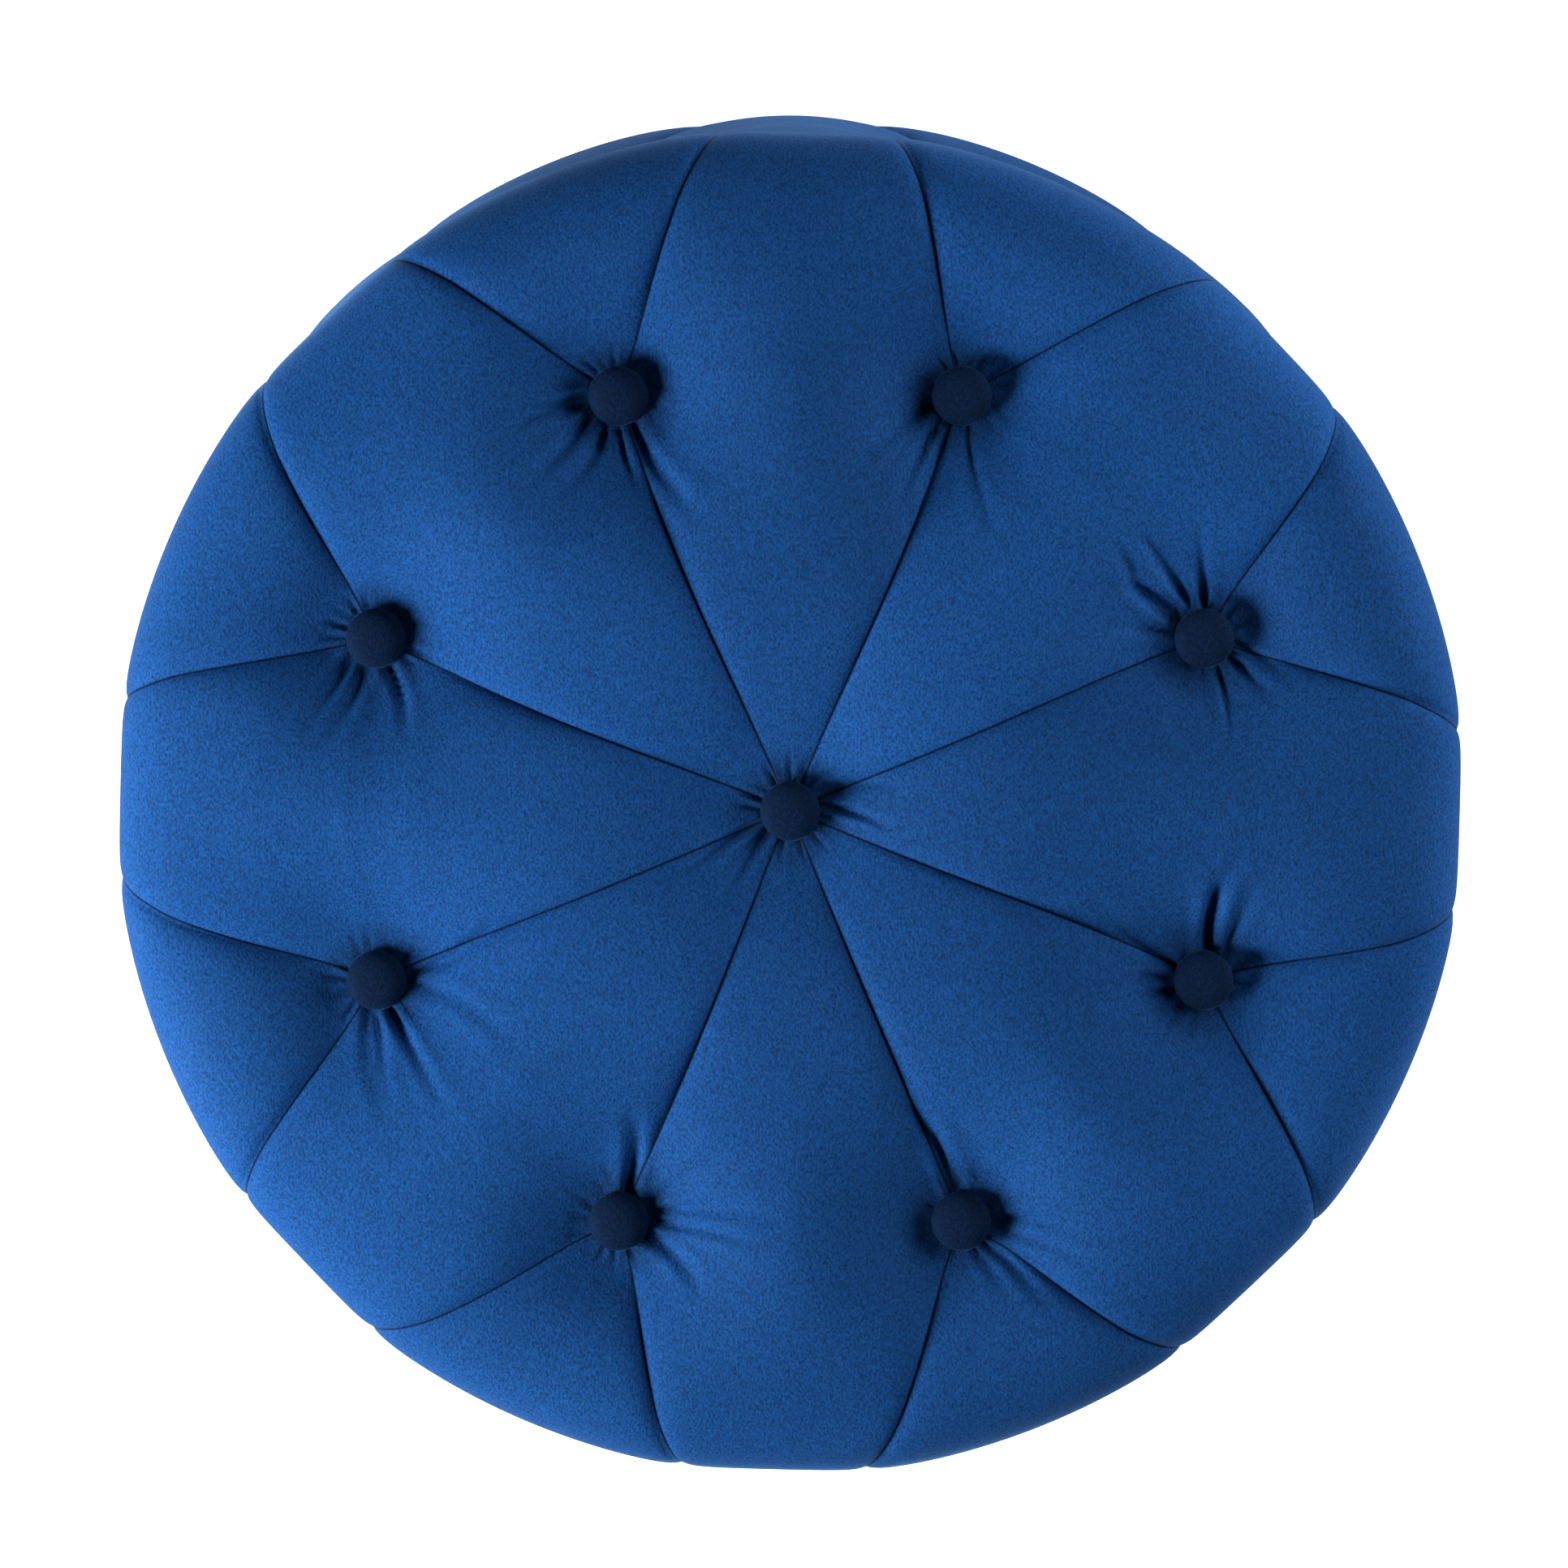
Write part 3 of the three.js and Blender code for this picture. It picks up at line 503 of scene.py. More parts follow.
def stuff(rings, measures, most):
    """The rings after the filling has pushed the velvet out between its seams, by at most so far.

    A coarser copy of the cover is held along its seams, its hems and round its buttons, and blown up
    as cloth. What it moves is spread back over the finer rings."""
    row_step, seam_hold, button_hold, steps = 3, 0.0006, 0.015, 18
    rows = np.unique(np.append(np.arange(0, len(rings), row_step), len(rings) - 1))
    cols = np.arange(0, rings.shape[1], 2)
    start = rings[np.ix_(rows, cols)]
    count = len(cols)
    seam_gap, button_gap = (measures[key][np.ix_(rows, cols)] for key in ("seam_gap", "button_gap"))
    held = (seam_gap < seam_hold) | (button_gap < button_hold)
    held[0], held[-1] = True, True
    corners = loop_quads(len(rows), count)
    flat = start.reshape(-1, 3)
    across = [flat[corners[:, 2]] - flat[corners[:, 0]], flat[corners[:, 3]] - flat[corners[:, 1]]]
    smallest = 2e-7
    corners = corners[np.linalg.norm(np.cross(*across), axis=1) > smallest]
    mesh = bpy.data.meshes.new("stuffing")
    mesh.from_pydata(flat.tolist(), [], corners.tolist())
    blown = add_piece("stuffing", mesh)
    pins = blown.vertex_groups.new(name="sewn down")
    loose = np.setdiff1d(np.arange(len(flat)), corners)
    pins.add([int(v) for v in np.union1d(np.flatnonzero(held), loose)], 1.0, "REPLACE")
    cloth = blown.modifiers.new("velvet", "CLOTH")
    cloth.settings.quality = 6
    cloth.settings.mass = 0.25
    cloth.settings.tension_stiffness = 22
    cloth.settings.compression_stiffness = 22
    cloth.settings.shear_stiffness = 8
    cloth.settings.bending_stiffness = 1.5
    cloth.settings.vertex_group_mass = "sewn down"
    cloth.settings.use_pressure = True
    cloth.settings.uniform_pressure_force = 4.0
    cloth.settings.effector_weights.gravity = 0
    cloth.point_cache.frame_start, cloth.point_cache.frame_end = 1, steps
    for step in range(1, steps + 1):
        bpy.context.scene.frame_set(step)
    settled = blown.evaluated_get(bpy.context.evaluated_depsgraph_get()).to_mesh()
    moved = read_points(settled).reshape(start.shape) - start
    bpy.data.objects.remove(blown)
    bpy.context.scene.frame_set(1)
    far = np.linalg.norm(moved, axis=2, keepdims=True)
    moved = moved * most * np.tanh(far / most) / np.maximum(far, 1e-9)
    every_row = np.arange(len(rings))
    finer = [np.interp(every_row, rows, moved[:, c, a]) for c in range(count) for a in range(3)]
    finer = np.stack(finer, 1).reshape(len(rings), count, 3)
    spread = np.empty_like(rings)
    spread[:, 0::2] = finer
    spread[:, 1::2] = (finer + np.roll(finer, -1, 1)) / 2
    from_seam, from_button = measures["seam_gap"] / 0.003, (measures["button_gap"] - button_hold) / 0.006
    free = np.clip(np.minimum(from_seam, from_button), 0, 1)[:, :, None]
    for _ in range(3):
        spread[1:-1] = (spread[:-2] + 2 * spread[1:-1] + spread[2:]) / 4
        spread = (np.roll(spread, 1, 1) + 2 * spread + np.roll(spread, -1, 1)) / 4
    return rings + spread * free


def make_cover(name, rings, measures):
    """A mesh through rings of points, with panels that have closed up merged away."""
    mesh = bpy.data.meshes.new(name)
    mesh.from_pydata(rings.reshape(-1, 3).tolist(), [], loop_quads(*rings.shape[:2]).tolist())
    for key, values in measures.items():
        measure = mesh.attributes.new(key, "FLOAT", "POINT")
        measure.data.foreach_set("value", values.reshape(-1).astype(np.float32))
    tidy_faces(mesh, 2e-5)
    mesh.shade_smooth()
    return add_piece(name, mesh)


button_angles = np.radians((np.arange(PANELS) + 0.5) * 360 / PANELS)
ring_height = float(lid_outline(lid_ring_level)[1])
lid_buttons = [(0, 0, lid_crown)]
lid_buttons += [(lid_ring_radius * math.cos(a), lid_ring_radius * math.sin(a), ring_height)
                for a in button_angles]
lid_clusters = [
    [(30, 2), (200, 2)],
    [(90, 3), (180, 2)],
    [(180, 4), (250, 1)],
    [(150, 4), (285, 2)],
    [(240, 4), (0, 3)],
    [(310, 5), (140, 3)],
    [(35, 4), (100, 1)],
    [(15, 3), (90, 3)],
    [(55, 2), (120, 1)],
]


def past_ring(radius):
    """How far out a radius is, from 0 at the ring of buttons to 1 at the fullest edge."""
    return np.clip((radius - lid_ring_radius) / (lid_full_radius - lid_ring_radius), 0, 1)


lid_pad = {
    "buttons": lid_buttons,
    "folds": [gather_folds(40 + k, clusters, 13) for k, clusters in enumerate(lid_clusters)],
    "full_width": 0.120,
    "seam_depth": 0.0100,
    "rim_depth": 0.0014,
    "rim_flat": 1.0,
    "rim_share": lambda radius, height: np.where(height < lid_full_height, 1, past_ring(radius)),
    "bow": 2.0,
    "twist": -1.4,
    "bow_share": lambda radius, height: np.sin(math.pi * np.clip(radius / lid_ring_radius, 0, 1)),
    "dip": 0.030,
    "dip_reach": 0.043,
    "button_depth": 0.0325,
    "pull_reach": 0.020,
    "seam_reach": 0.015,
    "flatten": lambda plain, place: (plain[:, :, 0] - place[0], plain[:, :, 1] - place[1]),
    "pull_way": lambda angle: np.array([0, 0, -1.0]),
    "seed": 5,
}


def lid_step(radius, height):
    """Short rows near the buttons, longer ones elsewhere."""
    near = np.minimum(radius, np.abs(radius - lid_ring_radius) + np.where(height < lid_full_height, 1, 0))
    return np.interp(near, [0.0, 0.03, 0.06], [0.0016, 0.0019, 0.0044])


first_ring_radius = 0.004
first_level = 2 / math.pi * math.asin((first_ring_radius / lid_full_radius) ** 1.4)
lid_levels = np.concatenate([
    walk(lid_outline, first_level, lid_ring_level, lid_step)[:-1],
    walk(lid_outline, lid_ring_level, 2, lid_step)[:-1],
])
kite_places, wedge_places = columns(44, 0.72), columns(30, 0.45)
rings, measures = lay_panels(lid_outline, lid_spread, lid_levels, kite_places, wedge_places, lid_pad)
rings = stuff(rings, measures, 0.006)
centre = np.zeros((1, rings.shape[1], 3)) + np.array([0, 0, lid_crown - lid_pad["button_depth"]])
end_angles = np.arctan2(rings[-1, :, 1], rings[-1, :, 0])


def plain_ring(radius, height):
    """One flat circle of points under or over a cushion's last ring."""
    x, y = radius * np.cos(end_angles), radius * np.sin(end_angles)
    return np.stack([x, y, height + 0 * end_angles], 1)[None]


def widen(measures, before, after):
    """The measures with their first ring repeated before them and their last ring after them."""
    return {key: np.concatenate([np.repeat(value[:1], before, 0), value, np.repeat(value[-1:], after, 0)])
            for key, value in measures.items()}


hem = np.concatenate([plain_ring(lid_edge_radius, lid_low.z),
                      plain_ring(lid_edge_radius - edge_roll, lid_low.z),
                      plain_ring(lid_hem_middle, lid_low.z), plain_ring(lid_hem_inner, lid_low.z),
                      plain_ring(lid_hem_inner, lid_low.z + velvet)])
lid_cushion = make_cover("lid_velvet", np.concatenate([centre, rings, hem]), widen(measures, 1, 5))
lid_cushion.data.materials.append(velvet_finish)
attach(lid_cushion, "lid")
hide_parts("lid_cover", "lid_foam")


# ---- Drum cushion ----
# The drum's side pad, 32 mm thick, in its own velvet cover. One row of eight buttons stands half way up,
# and from each of them seams run up and down to the edges.

drum_low, drum_high = (Vector(corner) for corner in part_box("drum_cover"))
drum_full_radius = 0.270
drum_edge_radius = 0.252
drum_lip_inner = 0.216
drum_hem_inner = 0.217
hem_middle_radius = 0.23
drum_middle = (drum_low.z + drum_high.z) / 2
drum_half = (drum_high.z - drum_low.z) / 2


def drum_outline(level):
    """Radius and height of the untufted drum: -1 at its top edge, 0 at the buttons and 1 at the hem."""
    level = np.asarray(level, float)
    turn = level * math.pi / 2
    power = 2 / 3
    radius = drum_edge_radius + (drum_full_radius - drum_edge_radius) * np.abs(np.cos(turn)) ** power
    return radius, drum_middle - drum_half * np.sign(turn) * np.abs(np.sin(turn)) ** power


def drum_spread(level):
    """Degrees from a button's own line to its seams."""
    height = np.abs(drum_outline(level)[1] - drum_middle) / drum_half
    return hem_seam_angle * height**0.8


drum_chance = np.random.default_rng(90)
drum_pad = {
    **lid_pad,
    "buttons": [(drum_full_radius * math.cos(a), drum_full_radius * math.sin(a), drum_middle)
                for a in button_angles],
    "folds": [
        gather_folds(70 + k, [(drum_chance.uniform(0, 360), 4), (drum_chance.uniform(0, 360), 3)], 13)
        for k in range(PANELS)
    ],
    "seam_depth": 0.008,
    "rim_flat": 0.5,
    "rim_share": lambda radius, height: np.abs(height - drum_middle) / drum_half,
    "twist": 0.0,
    "bow_share": lambda radius, height: np.sin(math.pi * (height - drum_middle) / drum_half) * 0.6,
    "button_depth": 0.024,
    "pull_reach": 0.017,
    "flatten": lambda plain, place: (
        drum_full_radius * np.arctan2(plain[:, :, 1] * place[0] - plain[:, :, 0] * place[1],
                                      plain[:, :, 0] * place[0] + plain[:, :, 1] * place[1]),
        plain[:, :, 2] - place[2]),
    "pull_way": lambda angle: np.stack([-np.cos(angle), -np.sin(angle), 0 * angle], 2),
    "seed": 6,
}


def drum_step(radius, height):
    """Short rows near the buttons, longer ones elsewhere."""
    return np.interp(np.abs(height - drum_middle), [0.0, 0.03, 0.06], [0.0017, 0.0020, 0.0050])


drum_end = 0.999
drum_levels = np.concatenate([
    walk(drum_outline, -drum_end, 0, drum_step)[:-1],
    walk(drum_outline, 0, drum_end, drum_step),
])
rings, measures = lay_panels(drum_outline, drum_spread, drum_levels, kite_places, wedge_places, drum_pad)
rings = stuff(rings, measures, 0.005)
end_angles = np.arctan2(rings[-1, :, 1], rings[-1, :, 0])
lip = np.concatenate([plain_ring(drum_lip_inner, drum_high.z - velvet),
                      plain_ring(drum_lip_inner, drum_high.z),
                      plain_ring(hem_middle_radius, drum_high.z),
                      plain_ring(drum_edge_radius - edge_roll, drum_high.z),
                      plain_ring(drum_edge_radius, drum_high.z)])
hem = np.concatenate([plain_ring(drum_edge_radius, drum_low.z),
                      plain_ring(drum_edge_radius - edge_roll, drum_low.z),
                      plain_ring(hem_middle_radius, drum_low.z), plain_ring(drum_hem_inner, drum_low.z),
                      plain_ring(drum_hem_inner, drum_low.z + velvet)])
drum_cushion = make_cover("drum_velvet", np.concatenate([lip, rings, hem]), widen(measures, 5, 5))
drum_cushion.data.materials.append(velvet_finish)
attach(drum_cushion, "drum")
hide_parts("drum_cover", "drum_foam")


# ---- Covered buttons ----
# Seventeen domed upholstery buttons, 24 mm across in their velvet, drawn down into the cushions. The
# velvet is gathered under each one's edge, and a wire shank goes down through the foam.

def button_mesh():
    """A covered button seated at z = 0 and facing +Z: its dome, its rolled edge and its shank."""
    profile = [(0.0, 0.0085), (0.0025, 0.00843), (0.005, 0.0082), (0.0072, 0.0077), (0.009, 0.0070),
               (0.0104, 0.0060), (0.0114, 0.0049), (0.0119, 0.0038), (0.0119, 0.0030), (0.0114, 0.0022),
               (0.0102, 0.0017), (0.0086, 0.0016), (0.0070, 0.0020), (0.0048, 0.0021), (0.0016, 0.0018),
               (0.0016, -0.0100), (0.0, -0.0100)]
    sides, pleats, pleat_depth = 56, 14, 0.00016
    turns = np.arange(sides) * 2 * math.pi / sides
    points = []
    for reach, height in profile:
        under_edge = 0.0016 < height < 0.0034 and reach > 0.006
        around = reach + pleat_depth * np.cos(pleats * turns) * under_edge
        points.append(np.stack([around * np.cos(turns), around * np.sin(turns), height + 0 * turns], 1))
    mesh = bpy.data.meshes.new("covered_button")
    mesh.from_pydata(np.concatenate(points).tolist(), [], loop_quads(len(profile), sides).tolist())
    tidy_faces(mesh, 1e-6)
    mesh.shade_smooth()
    mesh.materials.append(button_painted_shade_velvet)
    return mesh


button_shape = button_mesh()
seats = [("lid_button_centre", "lid", (0, 0, lid_crown - lid_pad["button_depth"]), (0, 0))]
seats += [(f"lid_button_{k + 1}", "lid", (x, y, z - lid_pad["button_depth"]), (0, 0))
          for k, (x, y, z) in enumerate(lid_buttons[1:])]
pulled = drum_full_radius - drum_pad["button_depth"]
seats += [(f"drum_button_{k + 1}", "drum", (pulled * math.cos(a), pulled * math.sin(a), drum_middle),
           (math.pi / 2, a)) for k, a in enumerate(button_angles)]
for name, body, place, (lean, turn) in seats:
    piece = add_piece(f"covered_{name}", button_shape)
    piece.location = place
    piece.rotation_euler = (0, lean, turn)
    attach(piece, body)
    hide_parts(name)


# ---- Linings and dust cover ----
# Black spunbonded cloth, thin and slightly see-through in its tiny embossed dots. It lines the storage
# tube and the lid's underside, and closes the bottom, stapled round its edge.

spunbond_finish, tree, surface = start_finish("black spunbond", (0.012, 0.012, 0.013), 0.9, specular=0.2)
grain, patches = add_grain(tree, 1100, 40)
place = tree.nodes.new("ShaderNodeTexCoord").outputs["Object"]
dots = add_node(tree, "ShaderNodeTexVoronoi", Vector=place, Scale=620.0, Randomness=0.25)
pressed = value_range(tree, dots.outputs["Distance"], 0.18, 0.34, 0.0, 1.0)
fibres = tree.nodes.new("ShaderNodeMix")
fibres.data_type = "RGBA"
tree.links.new(pressed, fibres.inputs["Factor"])
tree.links.new(shade_range(tree, patches, [(0.3, (0.012, 0.012, 0.0125)), (0.7, (0.018, 0.018, 0.019))]),
               fibres.inputs["A"])
tree.links.new(shade_range(tree, grain, [(0.3, (0.020, 0.020, 0.021)), (0.7, (0.042, 0.042, 0.044))]),
               fibres.inputs["B"])
tree.links.new(fibres.outputs["Result"], surface.inputs["Base Color"])
tree.links.new(value_range(tree, dots.outputs["Distance"], 0.18, 0.34, 0.6, 0.95),
               surface.inputs["Roughness"])
add_bump(tree, surface, pressed, 0.5, 0.0003)

CLOTH_THICKNESS = 0.0008
STITCHES_ROUND = 288


def thin_cloth(name, points, faces, body, replaced, flat, held, rests_on, area=None):
    """A piece of lining from its middle layer, given its thickness."""
    mesh = bpy.data.meshes.new(name)
    mesh.from_pydata(points, [], faces)
    mesh.shade_smooth()
    mesh.materials.append(spunbond_finish)
    piece = add_piece(name, mesh)
    layer = piece.modifiers.new("thickness", "SOLIDIFY")
    layer.thickness = CLOTH_THICKNESS
    layer.offset = 0
    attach(piece, body)
    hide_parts(replaced)


def polar_sheet(radii, heights, turns):
    """Points and quads of a sheet on circles about the middle axis; radii and heights are rings by turns."""
    points = np.stack([radii * np.cos(turns), radii * np.sin(turns), heights], 2).reshape(-1, 3).tolist()
    return points, loop_quads(*radii.shape).tolist()


def closed_middle(points, faces, height):
    """Closes the innermost ring, which is the last one, with a fan of triangles to the middle."""
    first = len(points) - STITCHES_ROUND
    points.append((0, 0, height))
    faces += [(first + j, len(points) - 1, first + (j + 1) % STITCHES_ROUND) for j in range(STITCHES_ROUND)]
    return points, faces


def slow_waves(chance, turns, waves):
    """A smooth irregular wave round a circle, from 0 to 1."""
    total = sum(chance.uniform(0.4, 1) * np.cos(n * turns + chance.uniform(0, 2 * math.pi)) for n in waves)
    return (total - total.min()) / (total.max() - total.min())


turns = np.arange(STITCHES_ROUND) * 2 * math.pi / STITCHES_ROUND
lining_low, lining_high = (Vector(corner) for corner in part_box("storage_lining"))
wall_radius = lining_high.x - CLOTH_THICKNESS / 2
chance = np.random.default_rng(11)
gathers = slow_waves(chance, turns, (5, 9, 14, 23, 31)) * slow_waves(chance, turns, (2, 3, 7))
slack = slow_waves(chance, turns, (3, 4, 11, 17))
share = np.linspace(0, 1, 30)[:, None]
wall_radii = wall_radius - 0.0022 * gathers * np.sin(math.pi * share) ** 0.7 - 0.0018 * slack * share**3
wall_bottom = lining_low.z + CLOTH_THICKNESS * 1.6
wall_heights = lining_high.z + (wall_bottom - lining_high.z) * share + 0 * turns
thin_cloth("storage_lining_wall", *polar_sheet(wall_radii, wall_heights, turns), "drum", "storage_lining",
           (2 * math.pi * wall_radius, lining_high.z - wall_bottom), "hung", ["liner_board"])

floor_radius = float(wall_radii[-1].min()) - 0.0008
rings_in = np.linspace(1, 0.04, 26)[:, None]
ripple = 0.0016 * slow_waves(chance, turns, (3, 6, 8, 13)) * np.sin(math.pi * rings_in) ** 2
floor_heights = lining_low.z + CLOTH_THICKNESS / 2 + ripple
points, faces = closed_middle(*polar_sheet(floor_radius * rings_in + 0 * turns, floor_heights, turns),
                              lining_low.z + CLOTH_THICKNESS / 2)
thin_cloth("storage_lining_floor", points, faces, "drum", "storage_lining",
           (2 * floor_radius, 2 * floor_radius), "laid", ["base_board"], area=math.pi * floor_radius**2)

lid_lining_low, lid_lining_high = (Vector(corner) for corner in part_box("lid_lining"))
lid_lining_radius = lid_lining_high.x
puckers = 0.00022 * slow_waves(chance, turns, (24, 48, 7)) * (1 - rings_in) * rings_in**6 * 12
lining_heights = lid_lining_high.z - CLOTH_THICKNESS / 2 - puckers
points, faces = closed_middle(*polar_sheet(lid_lining_radius * rings_in + 0 * turns, lining_heights, turns),
                              lid_lining_high.z - CLOTH_THICKNESS / 2)
thin_cloth("lid_lining_cloth", points, faces, "lid", "lid_lining",
           (2 * lid_lining_radius, 2 * lid_lining_radius), "stretched", ["lid_board"],
           area=math.pi * lid_lining_radius**2)

dust_low, dust_high = (Vector(corner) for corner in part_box("dust_cover"))
dust_radius = dust_high.x
bolt_circle = (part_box("foot_1")[0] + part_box("foot_1")[1]) / 2
bolts = [Vector((sx * abs(bolt_circle.x), sy * abs(bolt_circle.y))) for sx in (1, -1) for sy in (1, -1)]
BOLT_HOLE = 0.0044
FOOT_CLEAR = 0.030
HOLE_CORNERS = 18
WEAVE_STEP = 0.011
WEAVE_REACH = 0.22
outline = [Vector((dust_radius * math.cos(a), dust_radius * math.sin(a))) for a in turns[::2]]
edges = [(k, (k + 1) % len(outline)) for k in range(len(outline))]
laid = list(outline)
for bolt in bolts:
    first = len(laid)
    laid += [bolt + Vector((BOLT_HOLE * math.cos(a), BOLT_HOLE * math.sin(a)))
             for a in turns[::STITCHES_ROUND // HOLE_CORNERS]]
    edges += [(first + k, first + (k + 1) % HOLE_CORNERS) for k in range(HOLE_CORNERS)]


def bolt_gap(spot):
    """How far a place is from the nearest bolt."""
    return min((spot - bolt).length for bolt in bolts)


for x in np.arange(-WEAVE_REACH, WEAVE_REACH + 0.001, WEAVE_STEP):
    for y in np.arange(-WEAVE_REACH, WEAVE_REACH + 0.001, WEAVE_STEP):
        spot = Vector((float(x), float(y)))
        if spot.length < dust_radius - 0.006 and bolt_gap(spot) > BOLT_HOLE + 0.004:
            laid.append(spot)
laid, _, triangles, *_ = delaunay_2d_cdt(laid, edges, [], 0, 1e-6)


def dust_sag(spot):
    """How far the dust cover hangs down between its staples and the feet."""
    edge = max(0.0, 1 - (spot.length / dust_radius) ** 4)
    return 0.0022 * edge * min(1.0, max(0.0, (bolt_gap(spot) - FOOT_CLEAR) / 0.04)) ** 1.5


def middle_of(triangle):
    """The middle of a triangle of laid points."""
    return sum((laid[v] for v in triangle), Vector((0, 0))) / 3


kept = [list(t) for t in triangles if bolt_gap(middle_of(t)) > BOLT_HOLE * 0.98]
points = [(spot.x, spot.y, (dust_low.z + dust_high.z) / 2 - dust_sag(spot)) for spot in laid]
thin_cloth("dust_cover_cloth", points, kept, "drum", "dust_cover", (2 * dust_radius, 2 * dust_radius),
           "stretched", ["base_board"], area=math.pi * dust_radius**2 - 4 * math.pi * BOLT_HOLE**2)


# ---- Staples and screws ----
# Flat-crown wire staples, 10 mm wide, hold the linings' edges, and small countersunk cross-head screws
# fix the hinge leaves. All are zinc-plated steel.

STAPLE_WIDTH = 0.010
STAPLE_WIRE = 0.0007
STAPLE_INSET = 0.006


def staple_ring(name, radius, height, count, body):
    """A ring of staples whose crowns lie along the edge of a cloth, on its underside."""
    points, faces = [], []
    chance = np.random.default_rng(count)
    half, wire = STAPLE_WIDTH / 2, STAPLE_WIRE / 2
    for k in range(count):
        spun = 2 * math.pi * (k + chance.uniform(-0.12, 0.12)) / count
        askew = spun + math.pi / 2 + chance.uniform(-0.14, 0.14)
        centre = Vector((radius * math.cos(spun), radius * math.sin(spun), height))
        along = Vector((math.cos(askew), math.sin(askew), 0))
        aside = Vector((-math.sin(askew), math.cos(askew), 0))
        up = Vector((0, 0, -1))
        path = [(-half, -2.2), (-half, 0.2), (-half * 0.9, 0.8), (half * 0.9, 0.8), (half, 0.2), (half, -2.2)]
        first = len(points)
        for x, z in path:
            for dx, dz in ((-1, -1), (1, -1), (1, 1), (-1, 1)):
                bent = centre + up * (z * wire) + aside * (dx * wire)
                if abs(x) == half:
                    bent += along * (x + dz * wire * math.copysign(1, x))
                else:
                    bent += along * x + up * (dz * wire * 0.7)
                points.append(bent)
        for step in range(len(path) - 1):
            for side in range(4):
                a, b = first + 4 * step + side, first + 4 * step + (side + 1) % 4
                faces.append((a, b, b + 4, a + 4))
        last = len(points) - 4
        faces += [tuple(first + v for v in (3, 2, 1, 0)), tuple(last + v for v in range(4))]
    mesh = bpy.data.meshes.new(name)
    mesh.from_pydata(points, [], faces)
    tidy_faces(mesh)
    mesh.materials.append(zinc_finish)
    piece = add_piece(name, mesh)
    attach(piece, body)


staple_ring("lid_lining_staples", lid_lining_radius - STAPLE_INSET, lid_lining_low.z, 36, "lid")
staple_ring("dust_cover_staples", dust_radius - STAPLE_INSET, dust_low.z, 40, "drum")


def screw_mesh():
    """A countersunk cross-head screw, its head's face at z = 0 and facing +Z."""
    sides, head, recess, recess_width, recess_depth = 48, 0.00195, 0.0011, 0.00048, 0.0007
    rings_out = [0.0, 0.00022, 0.00045, 0.0007, 0.00095, 0.0012, 0.0016, head]
    points = []
    for reach in rings_out:
        for k in range(sides):
            a = 2 * math.pi * k / sides
            x, y = reach * math.cos(a), reach * math.sin(a)
            in_cross = min(abs(x), abs(y)) < recess_width / 2 and reach <= recess
            points.append((x, y, -recess_depth if in_cross else 0.0))
    for reach, height in ((head, -0.0002), (0.0012, -0.0011), (0.0010, -0.0075), (0.0001, -0.0105)):
        for k in range(sides):
            a = 2 * math.pi * k / sides
            points.append((reach * math.cos(a), reach * math.sin(a), height))
    last = len(points) - sides
    faces = loop_quads(len(points) // sides, sides).tolist() + [[last + k for k in range(sides)]]
    mesh = bpy.data.meshes.new("hinge_screw")
    mesh.from_pydata(points, [], faces)
    tidy_faces(mesh, 1e-7)
    mesh.materials.append(zinc_finish)
    return mesh


screw_shape = screw_mesh()
SCREW_SPACING = 0.010  # either way from the leaf's middle
SCREW_LINE = 0.2234  # from the drum's middle axis
SCREW_SUNK = 0.0001
drum_leaf_face, lid_leaf_face = 0.3222, 0.3225
for side in ("left", "right"):
    for leaf, body, face, up in (("drum_leaf", "drum", drum_leaf_face, 1),
                                 ("lid_leaf", "lid", lid_leaf_face, -1)):
        low, high = (Vector(corner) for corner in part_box(f"hinge_{side}_{leaf}"))
        for k, x in enumerate((-SCREW_SPACING, SCREW_SPACING)):
            piece = add_piece(f"hinge_{side}_{leaf}_screw_{k + 1}", screw_shape)
            piece.location = ((low.x + high.x) / 2 + x, SCREW_LINE, face - up * SCREW_SUNK)
            piece.rotation_euler = (0 if up > 0 else math.pi, 0, 0.4 + 0.9 * k)
            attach(piece, body)


# ---- Setting ----
# A pale floor that glows, more to the camera than onto the ottoman; a soft key light low on one side
# and weaker ones opposite and in front; and the camera almost straight above, a little to the front.

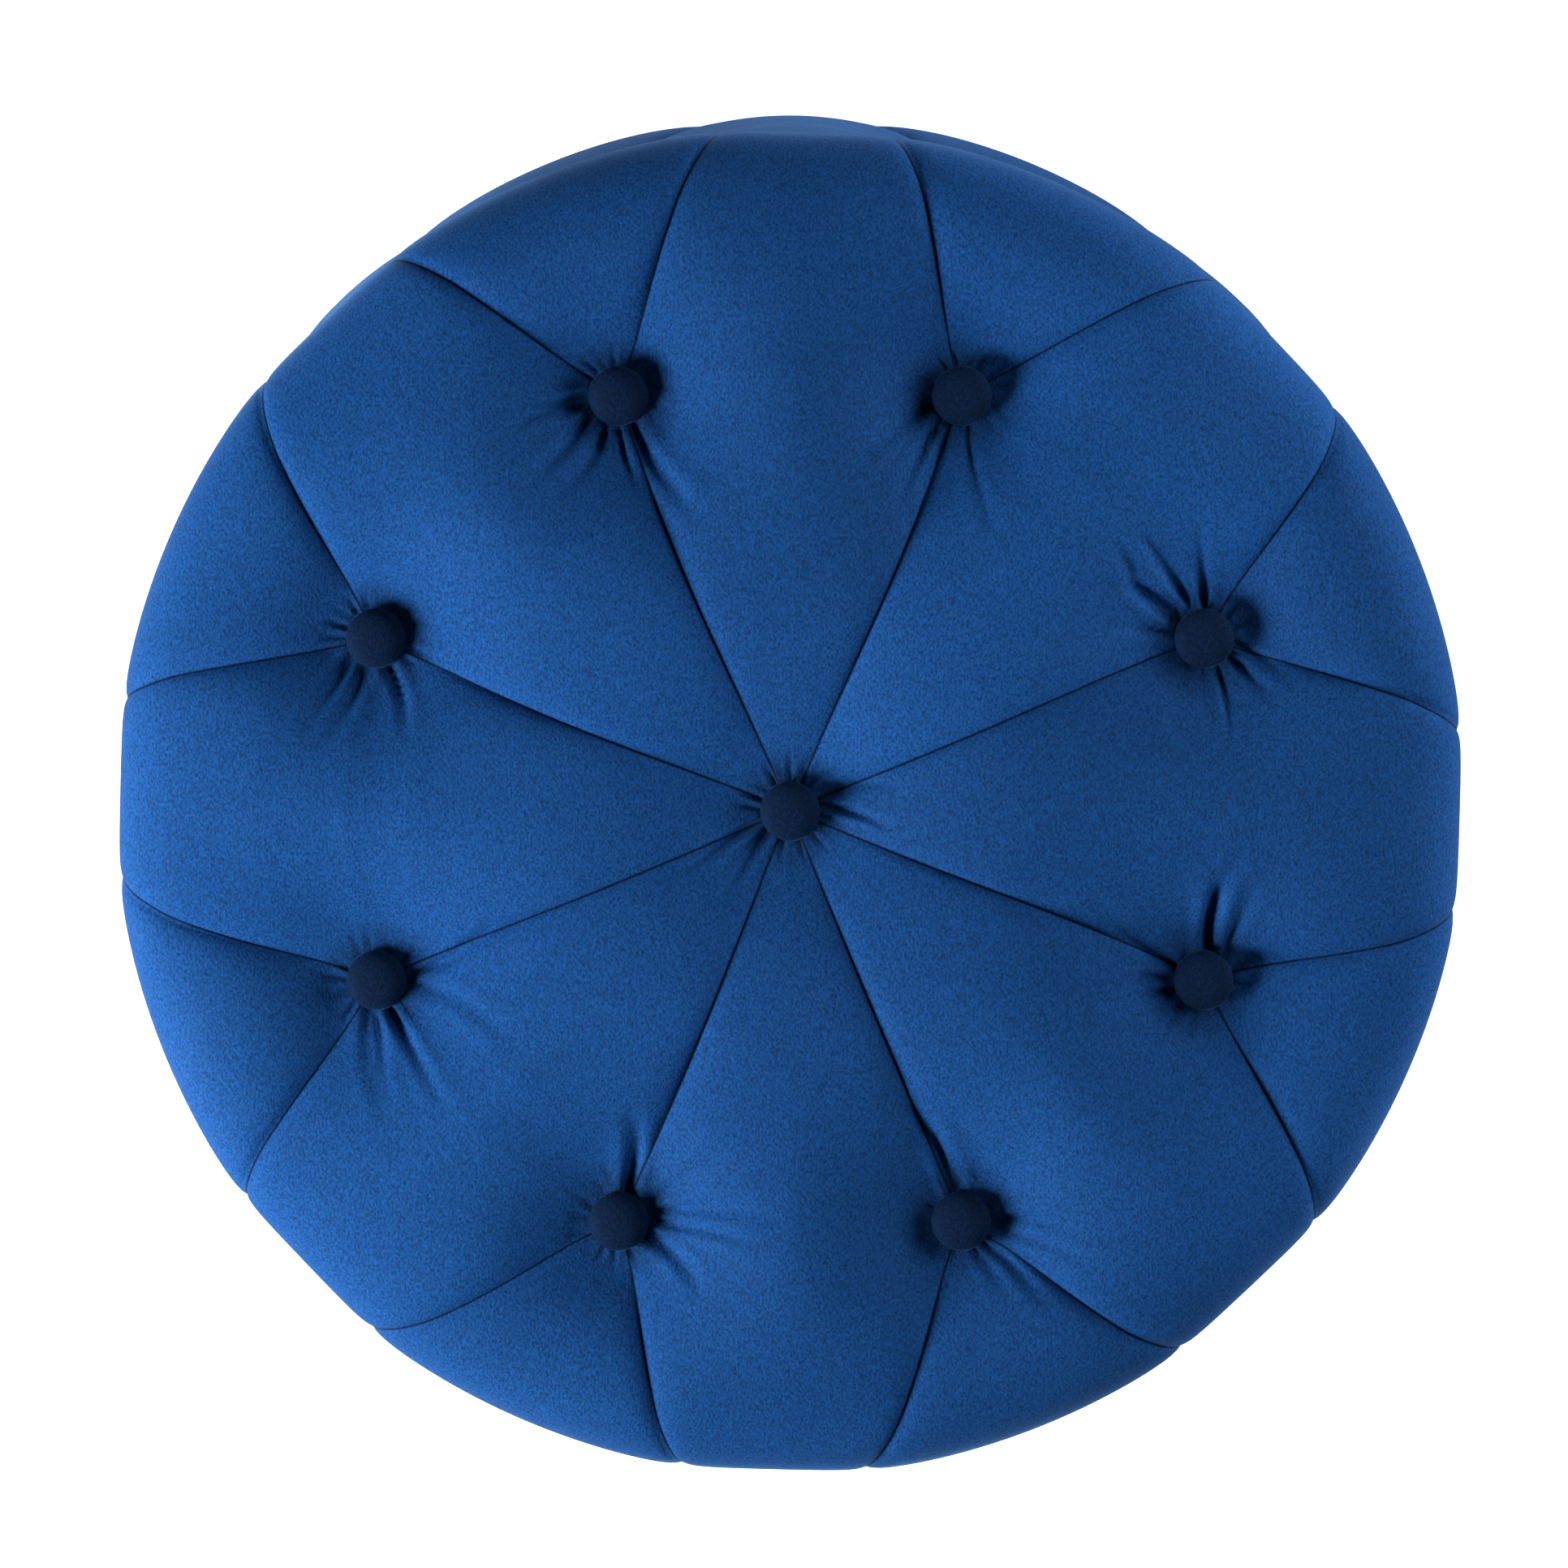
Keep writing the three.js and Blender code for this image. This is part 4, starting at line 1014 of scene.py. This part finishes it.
FLOOR_REACH = 30
floor_mesh = bpy.data.meshes.new("floor")
floor_corners = [(x * FLOOR_REACH, y * FLOOR_REACH, 0) for x, y in ((-1, -1), (1, -1), (1, 1), (-1, 1))]
floor_mesh.from_pydata(floor_corners, [], [(0, 1, 2, 3)])
floor = add_piece("floor", floor_mesh)
floor_finish, tree, surface = start_finish("pale floor", (0.8, 0.8, 0.8), 0.9, specular=0.1)
surface.inputs["Emission Color"].default_value = (1, 1, 1, 1)
seen = tree.nodes.new("ShaderNodeLightPath").outputs["Is Camera Ray"]
tree.links.new(value_range(tree, seen, 0, 1, 0.22, 0.88), surface.inputs["Emission Strength"])
floor.data.materials.append(floor_finish)

world = bpy.data.worlds.new("studio")
world.use_nodes = True
world.node_tree.nodes["Background"].inputs["Color"].default_value = (1, 1, 1, 1)
world.node_tree.nodes["Background"].inputs["Strength"].default_value = 0.04
bpy.context.scene.world = world

LIGHT_AIM = Vector((0, 0, 0.3))


def add_light(name, place, size, watts):
    """A square soft light at a place, facing the ottoman's middle."""
    light = bpy.data.objects.new(name, bpy.data.lights.new(name, "AREA"))
    light.data.size = size
    light.data.energy = watts
    light.location = place
    light.rotation_euler = (LIGHT_AIM - Vector(place)).to_track_quat("-Z", "Y").to_euler()
    bpy.context.scene.collection.objects.link(light)


add_light("key", (2.12, 0.88, 1.30), 0.9, 116)
add_light("fill", (-2.6, -0.5, 1.25), 1.6, 62)
add_light("edge", (-2.1, -2.0, 0.75), 1.0, 24)

camera = add_piece("camera", bpy.data.cameras.new("camera"))
camera.data.lens = 343
camera.data.sensor_width = 36
camera.data.clip_end = 100
tilt = math.radians(4.5)
camera_distance = 6.0
aim = Vector((0.0024, -0.0077, 0.369))
camera.location = aim + camera_distance * Vector((0, -math.sin(tilt), math.cos(tilt)))
camera.rotation_euler = Matrix((
    (-1, 0, 0),
    (0, -math.cos(tilt), -math.sin(tilt)),
    (0, -math.sin(tilt), math.cos(tilt)),
)).to_euler()
bpy.context.scene.camera = camera
bpy.context.scene.view_settings.view_transform = "Standard"
